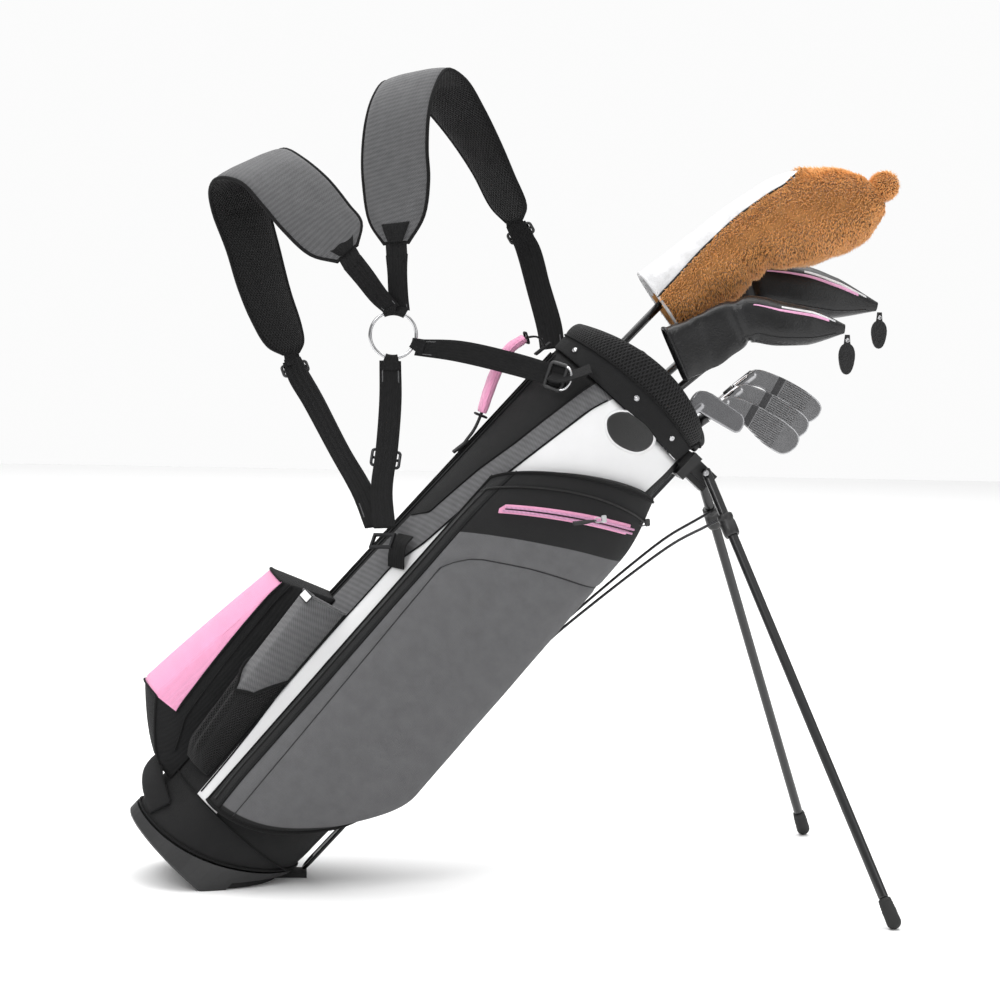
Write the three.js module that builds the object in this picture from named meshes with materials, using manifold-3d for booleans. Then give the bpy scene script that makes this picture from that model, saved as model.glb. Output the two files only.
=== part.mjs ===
// Junior golf club set: a stand bag on its two legs, a double shoulder harness and seven clubs.
// Lengths are millimetres and +Z is up. Most pieces are placed in the bag's own frame, whose +Z
// runs up the bag, +X points to the leg side and -Y to the side of the big pocket.

import * as THREE from 'three';
import { mergeVertices } from 'three/addons/utils/BufferGeometryUtils.js';
import Module from 'manifold-3d';

const wasm = await Module();
wasm.setup();

const { cos, sin, sqrt, abs, min, max, hypot, PI } = Math;
const degrees = PI / 180;

// ---------------------------------------------------------------- driving dimensions

const BAG_LENGTH = 740;
const BAG_LEAN = 42.1 * degrees;
const CLEARANCE = 0.4;

const SHELL_WALL = 3.5;
const SHELL_HALF_WIDTH = [88, 96];
const SHELL_HALF_DEPTH = [87, 84];
const SHELL_TOP = 700;

const CUP_RADIUS = 90;
const CUP_WALL = 4;
const CUP_FLOOR = 5;
const FOOT_WELL = { halfWidth: 80, height: 7.5, start: -3 };

const HINGE_LINE = 19;
const FOOT_HINGE = { forward: 2.5, up: 3.5, radius: 3.4 };
const FOOT_PLATE = { length: 84, halfWidth: 79, thickness: 5.5, lever: 118, leverHalfWidth: 16 };
const REST_FACE_AHEAD = 38;

const LEG_PIVOT = { x: 122, y: 30, z: 713 };
const LEG_SWING = 65.9 * degrees;
const LEG_SPLAY = 26.7 * degrees;
const LEG_AXIS = 63.3 * degrees;
const LEG_RADIUS = 5.5;
const LEG_FOOT_RADIUS = 8;
const COLLAR_FROM_PIVOT = 63;

const RUNNER_HEIGHT = [410, 440];
const WIRE_RADIUS = 1.6;
const ROD_RADIUS = 2;

const CUFF_HALF_WIDTH = 98;
const CUFF_HALF_DEPTH = 86;
const CUFF_WALL = 11;
const CUFF_TOP = 740;
const CUFF_RISE = 22;

const WEBBING = 2;
const PAD_THICKNESS = 11;
const RING = { radius: 25.5, wire: 1.9, x: -238, y: -10, z: 586.5 };

const GRIP_LENGTH = 235;
const GRIP_RADIUS = 10;
const BUTT_HEIGHT = 30;

// ---------------------------------------------------------------- finishes

const FINISH = {
  fabricGrey: { color: 0x5c5c5e, roughness: 0.9, metalness: 0 },
  fabricBlack: { color: 0x1d1d1e, roughness: 0.92, metalness: 0 },
  fabricPink: { color: 0xf2a9cb, roughness: 0.88, metalness: 0 },
  padding: { color: 0x3a3a3c, roughness: 0.95, metalness: 0 },
  webbing: { color: 0x161617, roughness: 0.85, metalness: 0 },
  plastic: { color: 0x1a1a1b, roughness: 0.5, metalness: 0 },
  rubber: { color: 0x111111, roughness: 0.8, metalness: 0 },
  blackTube: { color: 0x0c0c0d, roughness: 0.3, metalness: 0.6 },
  steel: { color: 0xb9bbbd, roughness: 0.3, metalness: 1 },
  wire: { color: 0x1b1b1c, roughness: 0.35, metalness: 0.9 },
  graphite: { color: 0x101113, roughness: 0.25, metalness: 0.2 },
  grip: { color: 0x141414, roughness: 0.85, metalness: 0 },
  plush: { color: 0xb87132, roughness: 1, metalness: 0 },
  leather: { color: 0x1b1b1c, roughness: 0.45, metalness: 0 },
};

// ---------------------------------------------------------------- solids

const MERGE_DISTANCE = 1e-4;

function signedVolume(position, index) {
  const corner = [new THREE.Vector3(), new THREE.Vector3(), new THREE.Vector3()];
  let total = 0;
  for (let i = 0; i < index.count; i += 3) {
    corner.forEach((point, k) => point.fromBufferAttribute(position, index.getX(i + k)));
    total += corner[0].dot(corner[1].cross(corner[2]));
  }
  return total / 6;
}

// Merges shared vertices, drops triangles with no area and turns the faces outward.
function closed(geometry) {
  geometry.deleteAttribute('normal');
  geometry.deleteAttribute('uv');
  const merged = mergeVertices(geometry, MERGE_DISTANCE);
  const kept = [];
  for (let i = 0; i < merged.index.count; i += 3) {
    const [a, b, c] = [0, 1, 2].map((k) => merged.index.getX(i + k));
    if (a !== b && b !== c && c !== a) kept.push(a, b, c);
  }
  merged.setIndex(kept);
  if (signedVolume(merged.attributes.position, merged.index) < 0) {
    for (let i = 0; i < kept.length; i += 3) [kept[i], kept[i + 1]] = [kept[i + 1], kept[i]];
    merged.setIndex(kept);
  }
  return merged;
}

// Moves each vertex of a closed geometry to the point that place() gives for it.
function shaped(geometry, place) {
  const { position } = geometry.attributes;
  for (let i = 0; i < position.count; i += 1) {
    position.setXYZ(i, ...place(position.getX(i), position.getY(i), position.getZ(i)));
  }
  return closed(geometry);
}

function toManifold(geometry) {
  const solid = geometry.index && !geometry.attributes.normal ? geometry : closed(geometry);
  return new wasm.Manifold(new wasm.Mesh({
    numProp: 3,
    vertProperties: new Float32Array(solid.attributes.position.array),
    triVerts: new Uint32Array(solid.index.array),
  }));
}

function toGeometry(manifold) {
  const mesh = manifold.getMesh();
  const geometry = new THREE.BufferGeometry();
  geometry.setAttribute('position', new THREE.BufferAttribute(mesh.vertProperties, 3));
  geometry.setIndex(new THREE.BufferAttribute(mesh.triVerts, 1));
  return geometry;
}

function join(...geometries) {
  return toGeometry(geometries.map(toManifold).reduce((whole, next) => whole.add(next)));
}

function cut(geometry, ...tools) {
  return toGeometry(tools.map(toManifold).reduce((whole, tool) => whole.subtract(tool), toManifold(geometry)));
}

function block(lowCorner, highCorner) {
  const [x0, y0, z0] = lowCorner;
  const [x1, y1, z1] = highCorner;
  const geometry = new THREE.BoxGeometry(x1 - x0, y1 - y0, z1 - z0);
  return closed(geometry.translate((x0 + x1) / 2, (y0 + y1) / 2, (z0 + z1) / 2));
}

// A solid of revolution about +Z from [radius, height] points.
function turned(profile, segments = 32) {
  const points = profile.map(([radius, height]) => new THREE.Vector2(radius, height));
  return closed(new THREE.LatheGeometry(points, segments).rotateX(PI / 2));
}

// A round bar between two points.
function bar(start, end, radius, sides = 12) {
  const from = new THREE.Vector3(...start);
  const along = new THREE.Vector3(...end).sub(from);
  const geometry = new THREE.CylinderGeometry(radius, radius, along.length(), sides);
  geometry.translate(0, along.length() / 2, 0);
  geometry.applyQuaternion(new THREE.Quaternion().setFromUnitVectors(new THREE.Vector3(0, 1, 0), along.normalize()));
  return closed(geometry.translate(from.x, from.y, from.z));
}

function pathThrough(points, tension = 0.5) {
  return new THREE.CatmullRomCurve3(points.map((point) => new THREE.Vector3(...point)), false, 'centripetal', tension);
}

// A round wire or tube along a smooth path.
function bentBar(points, radius, sides = 8, steps = 24) {
  const outline = new THREE.Shape();
  for (let i = 0; i < sides; i += 1) {
    const angle = (i * 2 * PI) / sides;
    const corner = [radius * cos(angle), radius * sin(angle)];
    if (i === 0) outline.moveTo(...corner);
    else outline.lineTo(...corner);
  }
  return closed(new THREE.ExtrudeGeometry(outline, { steps, extrudePath: pathThrough(points) }));
}

// A closed solid through rings: section(t, c, s) gives the point for 0 <= t <= 1 on a unit ring.
function loft(rings, sides, section) {
  const barrel = new THREE.CylinderGeometry(1, 1, 1, sides, rings - 1);
  return shaped(barrel, (x, y, z) => section(y + 0.5, x, z));
}

// A flat band between two edge curves; crown() scales its thickness from -1 to 1 across it.
function band(leftPoints, rightPoints, thickness, steps, crown = () => 1, columns = 1) {
  const left = pathThrough(leftPoints);
  const right = pathThrough(rightPoints);
  const across = new THREE.Vector3();
  const normal = new THREE.Vector3();
  return shaped(new THREE.BoxGeometry(1, 1, 1, columns, steps, 1), (x, y, z) => {
    const t = y + 0.5;
    const a = left.getPoint(t);
    const b = right.getPoint(t);
    across.subVectors(b, a);
    const tangent = left.getTangent(t).add(right.getTangent(t));
    normal.crossVectors(across, tangent).normalize();
    const point = a.addScaledVector(across, x + 0.5).addScaledVector(normal, z * thickness * crown(2 * x, t));
    return point.toArray();
  });
}

// ---------------------------------------------------------------- scene graph

const set = new THREE.Group();
const bag = new THREE.Group();
bag.rotation.y = BAG_LEAN;
bag.position.set(-HINGE_LINE * cos(BAG_LEAN) - REST_FACE_AHEAD, 0, HINGE_LINE * sin(BAG_LEAN));
set.add(bag);

function piece(name, geometry, finish, parent = bag) {
  const material = new THREE.MeshStandardMaterial(finish);
  const mesh = new THREE.Mesh(geometry, material);
  mesh.name = name;
  parent.add(mesh);
  return mesh;
}

// A point of the level ground frame, whose x starts at the hinge line, in the bag's frame.
function fromGround(x, y, z) {
  return [HINGE_LINE + x * cos(BAG_LEAN) - z * sin(BAG_LEAN), y, x * sin(BAG_LEAN) + z * cos(BAG_LEAN)];
}

function onGround(geometry) {
  geometry.rotateY(-BAG_LEAN);
  return geometry.translate(HINGE_LINE, 0, 0);
}

function between([low, high], height) {
  return low + ((high - low) * height) / BAG_LENGTH;
}

// A point on the bag's tube: angle 0 is the leg side, -90 degrees the big pocket's side.
function tubePoint(angle, height, proud = 0) {
  return [
    (between(SHELL_HALF_WIDTH, height) + proud) * cos(angle),
    (between(SHELL_HALF_DEPTH, height) + proud) * sin(angle),
    height,
  ];
}

// The height of the cup's rim, which stays clear of the ground on the leg side.
function rimHeight(x) {
  return 29 + 0.36 * x + 0.0021 * x * x;
}

// ---------------------------------------------------------------- base

function baseCup() {
  const rimMark = 100;
  const profile = [
    [0, 0], [CUP_RADIUS - 2, 0], [CUP_RADIUS, 2], [CUP_RADIUS, rimMark],
    [CUP_RADIUS - CUP_WALL, rimMark], [CUP_RADIUS - CUP_WALL, CUP_FLOOR], [0, CUP_FLOOR],
  ];
  const cup = shaped(turned(profile, 48), (x, y, z) => [x, y, z === rimMark ? rimHeight(x) : z]);
  const below = onGround(block([-200, -150, -200], [300, 150, 0]));
  const { halfWidth, height, start } = FOOT_WELL;
  const well = onGround(block([start, -halfWidth, -20], [200, halfWidth, height]));
  const { forward, up } = FOOT_HINGE;
  const pinHole = onGround(bar([forward, -84.5, up], [forward, 84.5, up], 2.3, 16));
  return cut(cup, below, well, pinHole);
}

// The hinged foot: a D-shaped plate, its barrel with moulded pins, and the lever under the rods.
function baseFoot() {
  const { length, halfWidth, thickness, lever, leverHalfWidth } = FOOT_PLATE;
  const { forward, up, radius } = FOOT_HINGE;
  const outline = new THREE.Shape();
  outline.moveTo(forward, -halfWidth);
  outline.absellipse(forward, 0, length - forward, halfWidth, -PI / 2, PI / 2, false);
  outline.closePath();
  const plate = new THREE.ExtrudeGeometry(outline, { depth: thickness, bevelEnabled: false, curveSegments: 24 });
  const arm = block([length - 20, -leverHalfWidth, 0], [lever, leverHalfWidth, thickness]);
  const barrel = bar([forward, -halfWidth, up], [forward, halfWidth, up], radius, 16);
  const pins = bar([forward, -83.6, up], [forward, 83.6, up], 1.8, 12);
  return onGround(join(closed(plate), arm, barrel, pins));
}

piece('base_cup', baseCup(), FINISH.plastic);
piece('base_foot', baseFoot(), FINISH.plastic);

// ---------------------------------------------------------------- tube, cuff and divider

function bagShell() {
  const levels = 5;
  const outer = Array.from({ length: levels + 1 }, (_, i) => [1, i / levels]);
  const inner = outer.map(([, t]) => [0.9, t]).reverse();
  return shaped(turned([...outer, ...inner, outer[0]], 48), (x, y, t) => {
    const angle = Math.atan2(y, x);
    const wall = hypot(x, y) > 0.95 ? 0 : -SHELL_WALL;
    const bottom = rimHeight(CUP_RADIUS * cos(angle)) + CLEARANCE;
    return tubePoint(angle, bottom + t * (SHELL_TOP - CLEARANCE - bottom), wall);
  });
}

function cuffTop(angle) {
  return CUFF_TOP + CUFF_RISE * sin(angle) ** 2;
}

function topCuff() {
  const profile = [[1, 0], [1, 0.5], [0.98, 0.95], [0.96, 1], [0.9, 1], [0.88, 0.93], [0.88, 0], [1, 0]];
  const cuff = shaped(turned(profile, 48), (x, y, t) => {
    const angle = Math.atan2(y, x);
    const inward = ((1 - hypot(x, y)) * CUFF_WALL) / 0.12;
    const height = SHELL_TOP + t * (cuffTop(angle) - SHELL_TOP);
    return [(CUFF_HALF_WIDTH - inward) * cos(angle), (CUFF_HALF_DEPTH - inward) * sin(angle), height];
  });
  const bracketNotch = block([84, -44, SHELL_TOP - 5], [130, 44, 722.5]);
  return cut(cuff, bracketNotch);
}

// Two padded bars across the mouth, tied by a short one between them.
function clubDivider() {
  const [low, high] = [712, 730];
  const [strapSide, legSide] = [-14, 44];
  const halfThickness = 3;
  const bars = [strapSide, legSide].map((x) => {
    const inner = [CUFF_HALF_WIDTH - CUFF_WALL, CUFF_HALF_DEPTH - CUFF_WALL];
    const reach = inner[1] * sqrt(1 - ((abs(x) + halfThickness) / inner[0]) ** 2) - 1;
    return block([x - halfThickness, -reach, low], [x + halfThickness, reach, high]);
  });
  return join(...bars, block([strapSide, 2, low], [legSide, 8, high]));
}

piece('bag_shell', bagShell(), FINISH.fabricGrey);
piece('top_cuff', topCuff(), FINISH.padding);
piece('club_divider', clubDivider(), FINISH.padding);
piece('spine_stay', block([96.8, -5.5, 100], [99.8, 5.5, 689]), FINISH.blackTube);

// ---------------------------------------------------------------- stand

function legDirection(side) {
  return new THREE.Vector3(
    sin(LEG_SWING) * cos(LEG_SPLAY),
    side * sin(LEG_SWING) * sin(LEG_SPLAY),
    -cos(LEG_SWING),
  );
}

function legPoint(side, distance) {
  const pivot = new THREE.Vector3(LEG_PIVOT.x, side * LEG_PIVOT.y, LEG_PIVOT.z);
  return pivot.addScaledVector(legDirection(side), distance).toArray();
}

// The distance from the pivot to the centre of a round foot that touches the ground.
function legReach() {
  const heightOf = ([x, , z]) => (HINGE_LINE - x) * sin(BAG_LEAN) + z * cos(BAG_LEAN);
  const pivotHeight = heightOf(legPoint(1, 0));
  const dropPerLength = pivotHeight - heightOf(legPoint(1, 1));
  return (pivotHeight - LEG_FOOT_RADIUS) / dropPerLength;
}

function alongLeg(geometry, side, distance) {
  const turn = new THREE.Quaternion().setFromUnitVectors(new THREE.Vector3(0, 0, 1), legDirection(side));
  return geometry.applyQuaternion(turn).translate(...legPoint(side, distance));
}

function legFoot(side) {
  const radius = LEG_FOOT_RADIUS;
  const domeSteps = 6;
  const dome = Array.from({ length: domeSteps + 1 }, (_, i) => {
    const angle = (i * PI) / 2 / domeSteps;
    return [radius * cos(angle), radius * sin(angle)];
  });
  dome[domeSteps][0] = 0;
  const profile = [[0, -26], [6.6, -26], [7.4, -22], ...dome];
  return alongLeg(turned(profile, 20), side, legReach());
}

function wireRoute(side) {
  return [[121, 12, 441.5], [124, 15, 480], [146, 32, 630], [158, 39, 668], [165.5, 42, 690]]
    .map(([x, y, z]) => [x, side * y, z]);
}

// The clamp round the leg that the push wire works on, with a lug towards the wire's end.
function legCollar(side) {
  const inner = LEG_RADIUS + CLEARANCE;
  const outer = 9;
  const half = 13;
  const body = turned([[0, -half], [outer, -half + 2], [outer, half - 2], [inner + 1.5, half], [0, half]], 20);
  const bore = turned([[0, -half - 5], [inner, -half - 5], [inner, half + 5], [0, half + 5]], 20);
  const centre = legPoint(side, COLLAR_FROM_PIVOT);
  const wireEnd = new THREE.Vector3(...wireRoute(side).at(-1));
  const lugEnd = wireEnd.lerp(new THREE.Vector3(...centre), 0.24).toArray();
  const ring = alongLeg(body, side, COLLAR_FROM_PIVOT);
  return cut(join(ring, bar(centre, lugEnd, 3.6, 12)), alongLeg(bore, side, COLLAR_FROM_PIVOT));
}

function pushWire(side) {
  return bentBar(wireRoute(side), WIRE_RADIUS, 8, 14);
}

// A pin along the line that a leg swings about.
function pivotPin(side, radius, inward, outward) {
  const along = [cos(LEG_AXIS), -side * sin(LEG_AXIS), 0];
  const at = (distance) => [
    LEG_PIVOT.x + along[0] * distance, side * LEG_PIVOT.y + along[1] * distance, LEG_PIVOT.z,
  ];
  return bar(at(inward), at(-outward), radius, 12);
}

function legTube(side) {
  const end = legReach() - 26 - CLEARANCE;
  return cut(bar(legPoint(side, -7), legPoint(side, end), LEG_RADIUS, 16), pivotPin(side, 2.4, 12, 12));
}

// The moulded block that carries both leg pivots, with the ears that the leg tops sit between.
function legBracket() {
  const body = block([93.4, -40, 690], [104, 40, 721.5]);
  const nose = block([103, -14, 696], [133, 14, 720]);
  const ears = block([103, -19, 703], [133, 19, 720]);
  const fit = shaped(turned([[0, 680], [1, 680], [1, 730], [0, 730]], 40), (x, y, z) => {
    const angle = Math.atan2(y, x);
    const radius = hypot(x, y);
    const [px, py] = tubePoint(angle, 700, 1);
    return [px * radius, py * radius, z];
  });
  const pins = [-1, 1].map((side) => pivotPin(side, 2, 15, 9));
  return cut(join(body, nose, ears, ...pins), fit);
}

// The pair of rods is one bent piece: its closed end rests on the foot's lever.
function pushRod() {
  const x = 98.2;
  const y = 10;
  const top = RUNNER_HEIGHT[0] - CLEARANCE;
  const bottom = 85;
  const bendSteps = 6;
  const bend = Array.from({ length: bendSteps + 1 }, (_, i) => {
    const angle = PI + (i * PI) / bendSteps;
    return [x, y * cos(angle), bottom + 7 + 9 * sin(angle)];
  });
  return bentBar([[x, -y, top], [x, -y, 250], ...bend, [x, y, 250], [x, y, top]], ROD_RADIUS, 8, 44);
}

function wireRunner() {
  const [low, high] = RUNNER_HEIGHT;
  const body = block([95.8, -17, low], [124, 17, high]);
  const slot = block([90, -6.6, low - 5], [101, 6.6, high + 5]);
  const waist = block([108, -30, low - 5], [130, 30, low + 8]);
  return cut(body, slot, waist);
}

const SIDES = { left: -1, right: 1 };

piece('leg_bracket', legBracket(), FINISH.plastic);
piece('wire_runner', wireRunner(), FINISH.plastic);
piece('push_rod', pushRod(), FINISH.wire);
for (const [name, side] of Object.entries(SIDES)) {
  piece(`leg_tube_${name}`, legTube(side), FINISH.blackTube);
  piece(`leg_foot_${name}`, legFoot(side), FINISH.rubber);
  piece(`leg_collar_${name}`, legCollar(side), FINISH.plastic);
  piece(`push_wire_${name}`, pushWire(side), FINISH.wire);
}

// ---------------------------------------------------------------- pockets

function mix(from, to, t) {
  return from + (to - from) * t;
}

// Rises from 0 to 1 over the given width and then stays level.
function shoulder(t, width) {
  return sin((min(1, max(0, t) / width) * PI) / 2);
}

// A pouch on the tube: outline(a, b) gives [angle, height], depth(a, b) how far it stands out.
function pouch(columns, rows, outline, depth, gap = CLEARANCE + 0.4) {
  return shaped(new THREE.BoxGeometry(1, 1, 1, columns, rows, 1), (x, y, z) => {
    const [a, b] = [x + 0.5, y + 0.5];
    const [angle, height] = outline(a, b);
    return tubePoint(angle, height, gap + (z + 0.5) * depth(a, b));
  });
}

function apparelPocket() {
  const outline = (a, b) => {
    const bottom = 80 + 116 * a ** 1.6;
    const top = 548 + 104 * (1 - (1 - a) ** 2);
    return [mix(-120 - 11 * b, -21, a) * degrees, mix(bottom, top, b)];
  };
  const depth = (a, b) => {
    const edge = shoulder(a, 0.12) * shoulder(1 - a, 0.07);
    const ends = mix(0.35, 1, shoulder(b, 0.12)) * mix(0.3, 1, shoulder(1 - b, 0.16));
    const bulge = mix(30, 6, b) * Math.exp(-(((a - 0.9) / 0.22) ** 2));
    return 3 + edge * ends * (20 + bulge);
  };
  return pouch(14, 16, outline, depth);
}

function farPocket() {
  const outline = (a, b) => [mix(48, 140, a) * degrees, mix(150 - 30 * sin(PI * a), 455 + 12 * sin(PI * a), b)];
  const depth = (a, b) => 3 + 24 * shoulder(a, 0.16) * shoulder(1 - a, 0.16) * shoulder(b, 0.14) * shoulder(1 - b, 0.14);
  return pouch(10, 10, outline, depth);
}

// The bottle pocket is open at its top.
function bottlePocket() {
  const outline = (a, b) => [mix(-153, -125 - 8 * b, a) * degrees, mix(96, 318 + 10 * a, b)];
  const depth = (a, b) => {
    const edge = shoulder(a + 0.12, 0.3) * shoulder(1 - a, 0.5);
    return 3 + edge * mix(20, 46, b ** 0.8) * mix(0.5, 1, shoulder(b, 0.1));
  };
  const wall = 3.4;
  const inside = (a, b) => outline(mix(0.13, 0.8, a), mix(0.06, 1.1, b));
  const room = (a, b) => depth(mix(0.13, 0.8, a), min(1, mix(0.06, 1.1, b))) - 2 * wall;
  return cut(pouch(8, 8, outline, depth), pouch(5, 6, inside, room, wall + CLEARANCE));
}

// The ball pocket stands out on the strap side, deepest low down, with a sloping top.
function ballPocket() {
  const reach = (b) => {
    const rise = min(1, b / 0.24);
    return b < 0.24 ? mix(12, 86, rise ** 0.7) : mix(86, 66, (b - 0.24) / 0.76);
  };
  return shaped(new THREE.BoxGeometry(1, 1, 1, 8, 10, 5), (x, y, z) => {
    const [a, b, c] = [2 * x, y + 0.5, z + 0.5];
    const side = mix(9, 8, c) + a * mix(43, 38, c);
    const height = mix(62, 304, b) + 26 * (1 - c) * b;
    const backX = between(SHELL_HALF_WIDTH, height) * sqrt(1 - (side / between(SHELL_HALF_DEPTH, height)) ** 2);
    const crown = 1 - 0.16 * a * a;
    return [-(backX + 1.2 + c * reach(b) * crown), side, height];
  });
}

piece('apparel_pocket', apparelPocket(), FINISH.fabricGrey);
piece('far_pocket', farPocket(), FINISH.fabricGrey);
piece('bottle_pocket', bottlePocket(), FINISH.fabricBlack);
piece('ball_pocket', ballPocket(), FINISH.fabricPink);

// ---------------------------------------------------------------- carry handle and zip pull

const HANDLE_ROUTE = [
  [-95.5, 0, 542], [-98, 0, 556], [-100, 0, 572], [-107, 0, 592], [-118, 0, 615],
  [-128, 0, 640], [-133, 0, 664], [-129, 0, 684], [-118, 0, 696], [-103.5, 0, 692],
];

function flatBar(points, width, thickness, steps, wall = 0) {
  const shape = new THREE.Shape();
  const rectangle = (target, halfWidth, halfThickness) => {
    target.moveTo(-halfWidth, -halfThickness);
    target.lineTo(halfWidth, -halfThickness);
    target.lineTo(halfWidth, halfThickness);
    target.lineTo(-halfWidth, halfThickness);
    target.closePath();
    return target;
  };
  rectangle(shape, width / 2, thickness / 2);
  if (wall) shape.holes.push(rectangle(new THREE.Path(), width / 2 - wall, thickness / 2 - wall));
  return closed(new THREE.ExtrudeGeometry(shape, { steps, extrudePath: pathThrough(points) }));
}

piece('handle_strap', flatBar(HANDLE_ROUTE, 24, WEBBING, 36), FINISH.webbing);
piece('handle_grip', flatBar(HANDLE_ROUTE.slice(3, 8), 34, 12, 20, 4.2), FINISH.fabricPink);

const ZIP_LINE = { start: [-34, -113, 536], end: [68, -104, 598] };

function zipPull() {
  const [x, y, z] = ZIP_LINE.end;
  const slider = block([x - 5, y - 5, z - 3], [x + 5, y - 1, z + 5]);
  const tab = block([x - 3, y - 6.5, z - 30], [x + 4, y - 3.5, z]);
  return join(slider, tab);
}

piece('zip_pull', zipPull(), FINISH.steel);

// ---------------------------------------------------------------- harness

function padCrown(across) {
  return 1 - 0.55 * across * across;
}

const PAD_LEFT = {
  left: [
    [-338, -52, 602], [-365, -58, 587], [-403, -62, 586], [-439, -62, 590], [-472, -52, 592], [-494, -30, 579],
    [-493, -5, 564], [-475, 10, 549], [-435, 18, 529], [-397, 24, 507], [-362, 30, 491], [-330, 38, 482],
    [-311, 44, 487],
  ],
  right: [
    [-335, -44, 630], [-349, -36, 652], [-370, -32, 656], [-407, -28, 661], [-443, -18, 659], [-465, 5, 653],
    [-468, 35, 633], [-441, 55, 601], [-392, 62, 568], [-353, 66, 543], [-319, 66, 524], [-304, 60, 512],
    [-300, 54, 501],
  ],
};

const PAD_RIGHT = {
  left: [
    [-314, -22, 652], [-342, -16, 659], [-375, -10, 684], [-398, -8, 707], [-420, -2, 736], [-433, 12, 762],
    [-436, 32, 785], [-416, 60, 798], [-374, 85, 799], [-334, 100, 795], [-292, 108, 786], [-252, 112, 773],
    [-228, 110, 772],
  ],
  right: [
    [-296, -30, 671], [-304, -38, 704], [-327, -42, 736], [-350, -42, 758], [-374, -38, 786], [-389, -25, 812],
    [-395, -2, 840], [-372, 25, 849], [-337, 48, 842], [-296, 60, 828], [-260, 66, 813], [-226, 80, 799],
    [-218, 98, 787],
  ],
};

piece('shoulder_pad_left', band(PAD_LEFT.left, PAD_LEFT.right, PAD_THICKNESS, 26, padCrown, 4), FINISH.padding);
piece('shoulder_pad_right', band(PAD_RIGHT.left, PAD_RIGHT.right, PAD_THICKNESS, 26, padCrown, 4), FINISH.padding);

function harnessRing() {
  const torus = new THREE.TorusGeometry(RING.radius, RING.wire, 8, 28);
  return closed(torus.rotateX(PI / 2).translate(RING.x, RING.y, RING.z));
}

piece('harness_ring', harnessRing(), FINISH.steel);

const WEBS = {
  web_ring_left: {
    left: [[-328, -53, 601], [-307, -40, 599], [-280, -24, 596], [-262, -14, 597]],
    right: [[-325, -46, 625], [-304, -36, 622], [-277, -22, 617], [-256, -13, 615]],
  },
  web_ring_right: {
    left: [[-304, -20, 644], [-290, -13, 632], [-272, -8, 615], [-260, -6, 606]],
    right: [[-288, -27, 662], [-275, -16, 648], [-256, -9, 630], [-243, -6, 619]],
  },
  web_ring_side: {
    left: [[-214, -14, 603], [-180, -26, 633], [-125, -50, 666], [-76, -76, 690]],
    right: [[-206, -14, 586], [-169, -26, 612], [-112, -50, 645], [-64, -79, 670]],
  },
  web_ring_lower: {
    left: [[-230, -12, 555.5], [-201, -20, 524], [-167, -38, 481], [-142, -54, 446], [-112, -71, 418]],
    right: [[-212, -12, 571.5], [-182, -20, 540], [-149, -38, 498], [-124, -54, 462], [-95, -73, 435]],
  },
  web_pad_left: {
    left: [[-306, 44, 483], [-289, 40, 471], [-256, 28, 461], [-198, -4, 442], [-151, -34, 427], [-118, -58, 411]],
    right: [[-295, 54, 498], [-276, 48, 492], [-249, 34, 484], [-187, 0, 462], [-139, -30, 448], [-103, -60, 430]],
  },
  web_pad_right: {
    left: [[-224, 108, 768], [-198, 106, 756], [-158, 96, 731], [-118, 76, 704], [-102, 64, 690]],
    right: [[-213, 97, 785], [-183, 95, 778], [-144, 86, 754], [-104, 70, 729], [-84, 62, 712]],
  },
};

for (const [name, { left, right }] of Object.entries(WEBS)) {
  piece(name, band(left, right, WEBBING, 16), FINISH.webbing);
}

// The rectangular wire loop sewn to the bag, which both lower straps end at.
function anchorLoop() {
  const [across, along] = [15, 9];
  const wire = 1.6;
  const centre = new THREE.Vector3(-96, -76, 415);
  const outer = block([-across, -wire, -along], [across, wire, along]);
  const hole = block([-across + 3, -9, -along + 3], [across - 3, 9, along - 3]);
  const loop = cut(outer, hole);
  loop.rotateY(-34 * degrees);
  loop.rotateZ(-52 * degrees);
  return loop.translate(...centre.toArray());
}

piece('anchor_loop', anchorLoop(), FINISH.wire);

// ---------------------------------------------------------------- clubs

// Each club stands grip down: butt and mouth are where its axis meets the heights below.
const CLUBS = {
  driver: { butt: [-50, 48], mouth: [-44, 12], length: 940, shaft: FINISH.graphite },
  fairway: { butt: [-50, 2], mouth: [19, 58], length: 880, shaft: FINISH.graphite },
  hybrid: { butt: [-64, -15], mouth: [27, -46], length: 835, shaft: FINISH.graphite },
  iron_long: { butt: [-30, 22], mouth: [76, 25], length: 800, shaft: FINISH.steel },
  iron_short: { butt: [-30, -8], mouth: [77, 3], length: 775, shaft: FINISH.steel },
  wedge: { butt: [-38, -38], mouth: [75, -19], length: 753, shaft: FINISH.steel },
  putter: { butt: [-25, -60], mouth: [58, -43], length: 722, shaft: FINISH.steel },
};

function clubGroup({ butt, mouth }) {
  const group = new THREE.Group();
  const start = new THREE.Vector3(butt[0], butt[1], BUTT_HEIGHT);
  const axis = new THREE.Vector3(mouth[0], mouth[1], BAG_LENGTH).sub(start).normalize();
  group.position.copy(start);
  group.quaternion.setFromUnitVectors(new THREE.Vector3(0, 0, 1), axis);
  bag.add(group);
  return group;
}

function grip() {
  const bore = 6.2;
  const tip = 7.6;
  return turned([
    [0, 0], [GRIP_RADIUS - 1, 0], [GRIP_RADIUS, 2], [GRIP_RADIUS - 0.6, 40], [tip, GRIP_LENGTH],
    [bore, GRIP_LENGTH], [bore, 4], [0, 4],
  ], 16);
}

function shaft(length) {
  return turned([[0, 4.5], [5.8, 4.5], [5.6, GRIP_LENGTH + 10], [4.3, length], [0, length]], 12);
}

function hosel(start, end, radius = 6.2) {
  return turned([[0, start], [radius, start + 1], [radius, end - 1], [0, end]], 16);
}

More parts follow.
